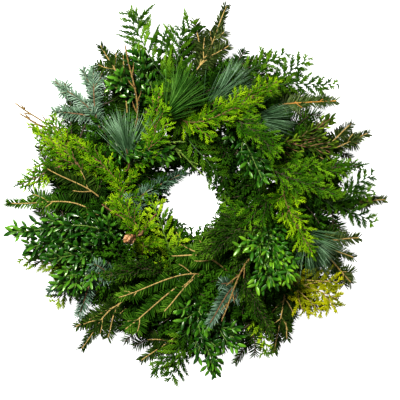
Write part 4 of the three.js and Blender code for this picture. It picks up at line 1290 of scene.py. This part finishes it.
for end in BARE_TWIG_ENDS:
    straight = (end - fork).normalized()
    swept_aside = straight.lerp(Vector((0, 1, 0)), TWIG_SWEEP)
    bones.line(bend(fork, swept_aside, end, straight), BARE_TWIG_GIRTHS, BARE)
first = len(bones.girth)
bones.line([cone_base + cone_axis * CONE_STEP * step for step in range(len(CONE_GIRTHS))], (0, 0))
bones.girth[first:] = [girth * MM for girth in CONE_GIRTHS]
piece, slot = dress("cone_on_its_twig", bones, "cone_wood", CONE_SEED)
keep(piece, slot, "cypress_cone")
print("cone middle in mm", tuple(round(c) for c in cone_middle))

# %% [markdown]
# ## The wire ring
#
# Two rails of round wire, and at each of the fifteen places a clamp of thinner wire, welded to the
# rails and bent shut over the stems. They're lines with a girth again, this time closed ones.

# %% The rails and clamps
RAIL_SPREAD = 26
RAIL_GIRTH = 1.9
RAIL_HEIGHT = 1.9
CLAMP_GIRTH = 1.2
CLAMP_HALF = 12.6
CLAMP_LOW, CLAMP_HIGH = 4.45, 11.9
CLAMP_CORNER = 2.6
CORNER_POINTS = 5
RAIL_POINTS = 120
WIRE_SIDES = 12
WIRE_SEED = 301


def wire_tree(title):
    """Round wire along every line, and nothing else."""
    tree, size = new_tree(title, {"Bark": "material"})
    curves = add(tree, "GeometryNodeMeshToCurve", {"Mesh": size["Geometry"]})[0]
    finish_tree(tree, [bark(tree, curves, sides=WIRE_SIDES)], size["Bark"], size["Bark"])
    return tree


def clamp_loop(angle):
    """A rectangle with round corners that stands across the ring."""
    loop = []
    middle = (CLAMP_LOW + CLAMP_HIGH) / 2
    tall = (CLAMP_HIGH - CLAMP_LOW) / 2 - CLAMP_CORNER
    for corner, (side, up) in enumerate(((1, 1), (-1, 1), (-1, -1), (1, -1))):
        for step in range(CORNER_POINTS):
            turn = math.radians(90 * (corner + step / (CORNER_POINTS - 1)))
            out = side * (CLAMP_HALF - CLAMP_CORNER) + CLAMP_CORNER * math.cos(turn)
            height = middle + up * tall + CLAMP_CORNER * math.sin(turn)
            loop.append(polar(angle, RING_RADIUS + out, height))
    return loop


bones = Skeleton()
for side in (-0.5, 0.5):
    radius = RING_RADIUS + side * RAIL_SPREAD
    rail = [polar(360 * step / RAIL_POINTS, radius, RAIL_HEIGHT) for step in range(RAIL_POINTS)]
    bones.line(rail, (RAIL_GIRTH, RAIL_GIRTH), closed=True)
for clamp in range(CLAMPS):
    bones.line(clamp_loop(CLAMP_STEP * clamp), (CLAMP_GIRTH, CLAMP_GIRTH), closed=True)
wire_paint = bark_finish("wire_paint", (0.008, 0.03, 0.012), (0.02, 0.06, 0.025), 0.4)
BARKS["wire_paint"] = wire_paint
GREENS["wire_paint"] = wire_paint
SPECIES["wire"] = (wire_tree("wire"), {})
LOOKS["wire_paint"] = ("wire", "wire_paint", "ring_wire")
piece, slot = dress("ring_of_wire", bones, "wire_paint", WIRE_SEED)
keep(piece, slot, "wire_ring")
print(count_of)
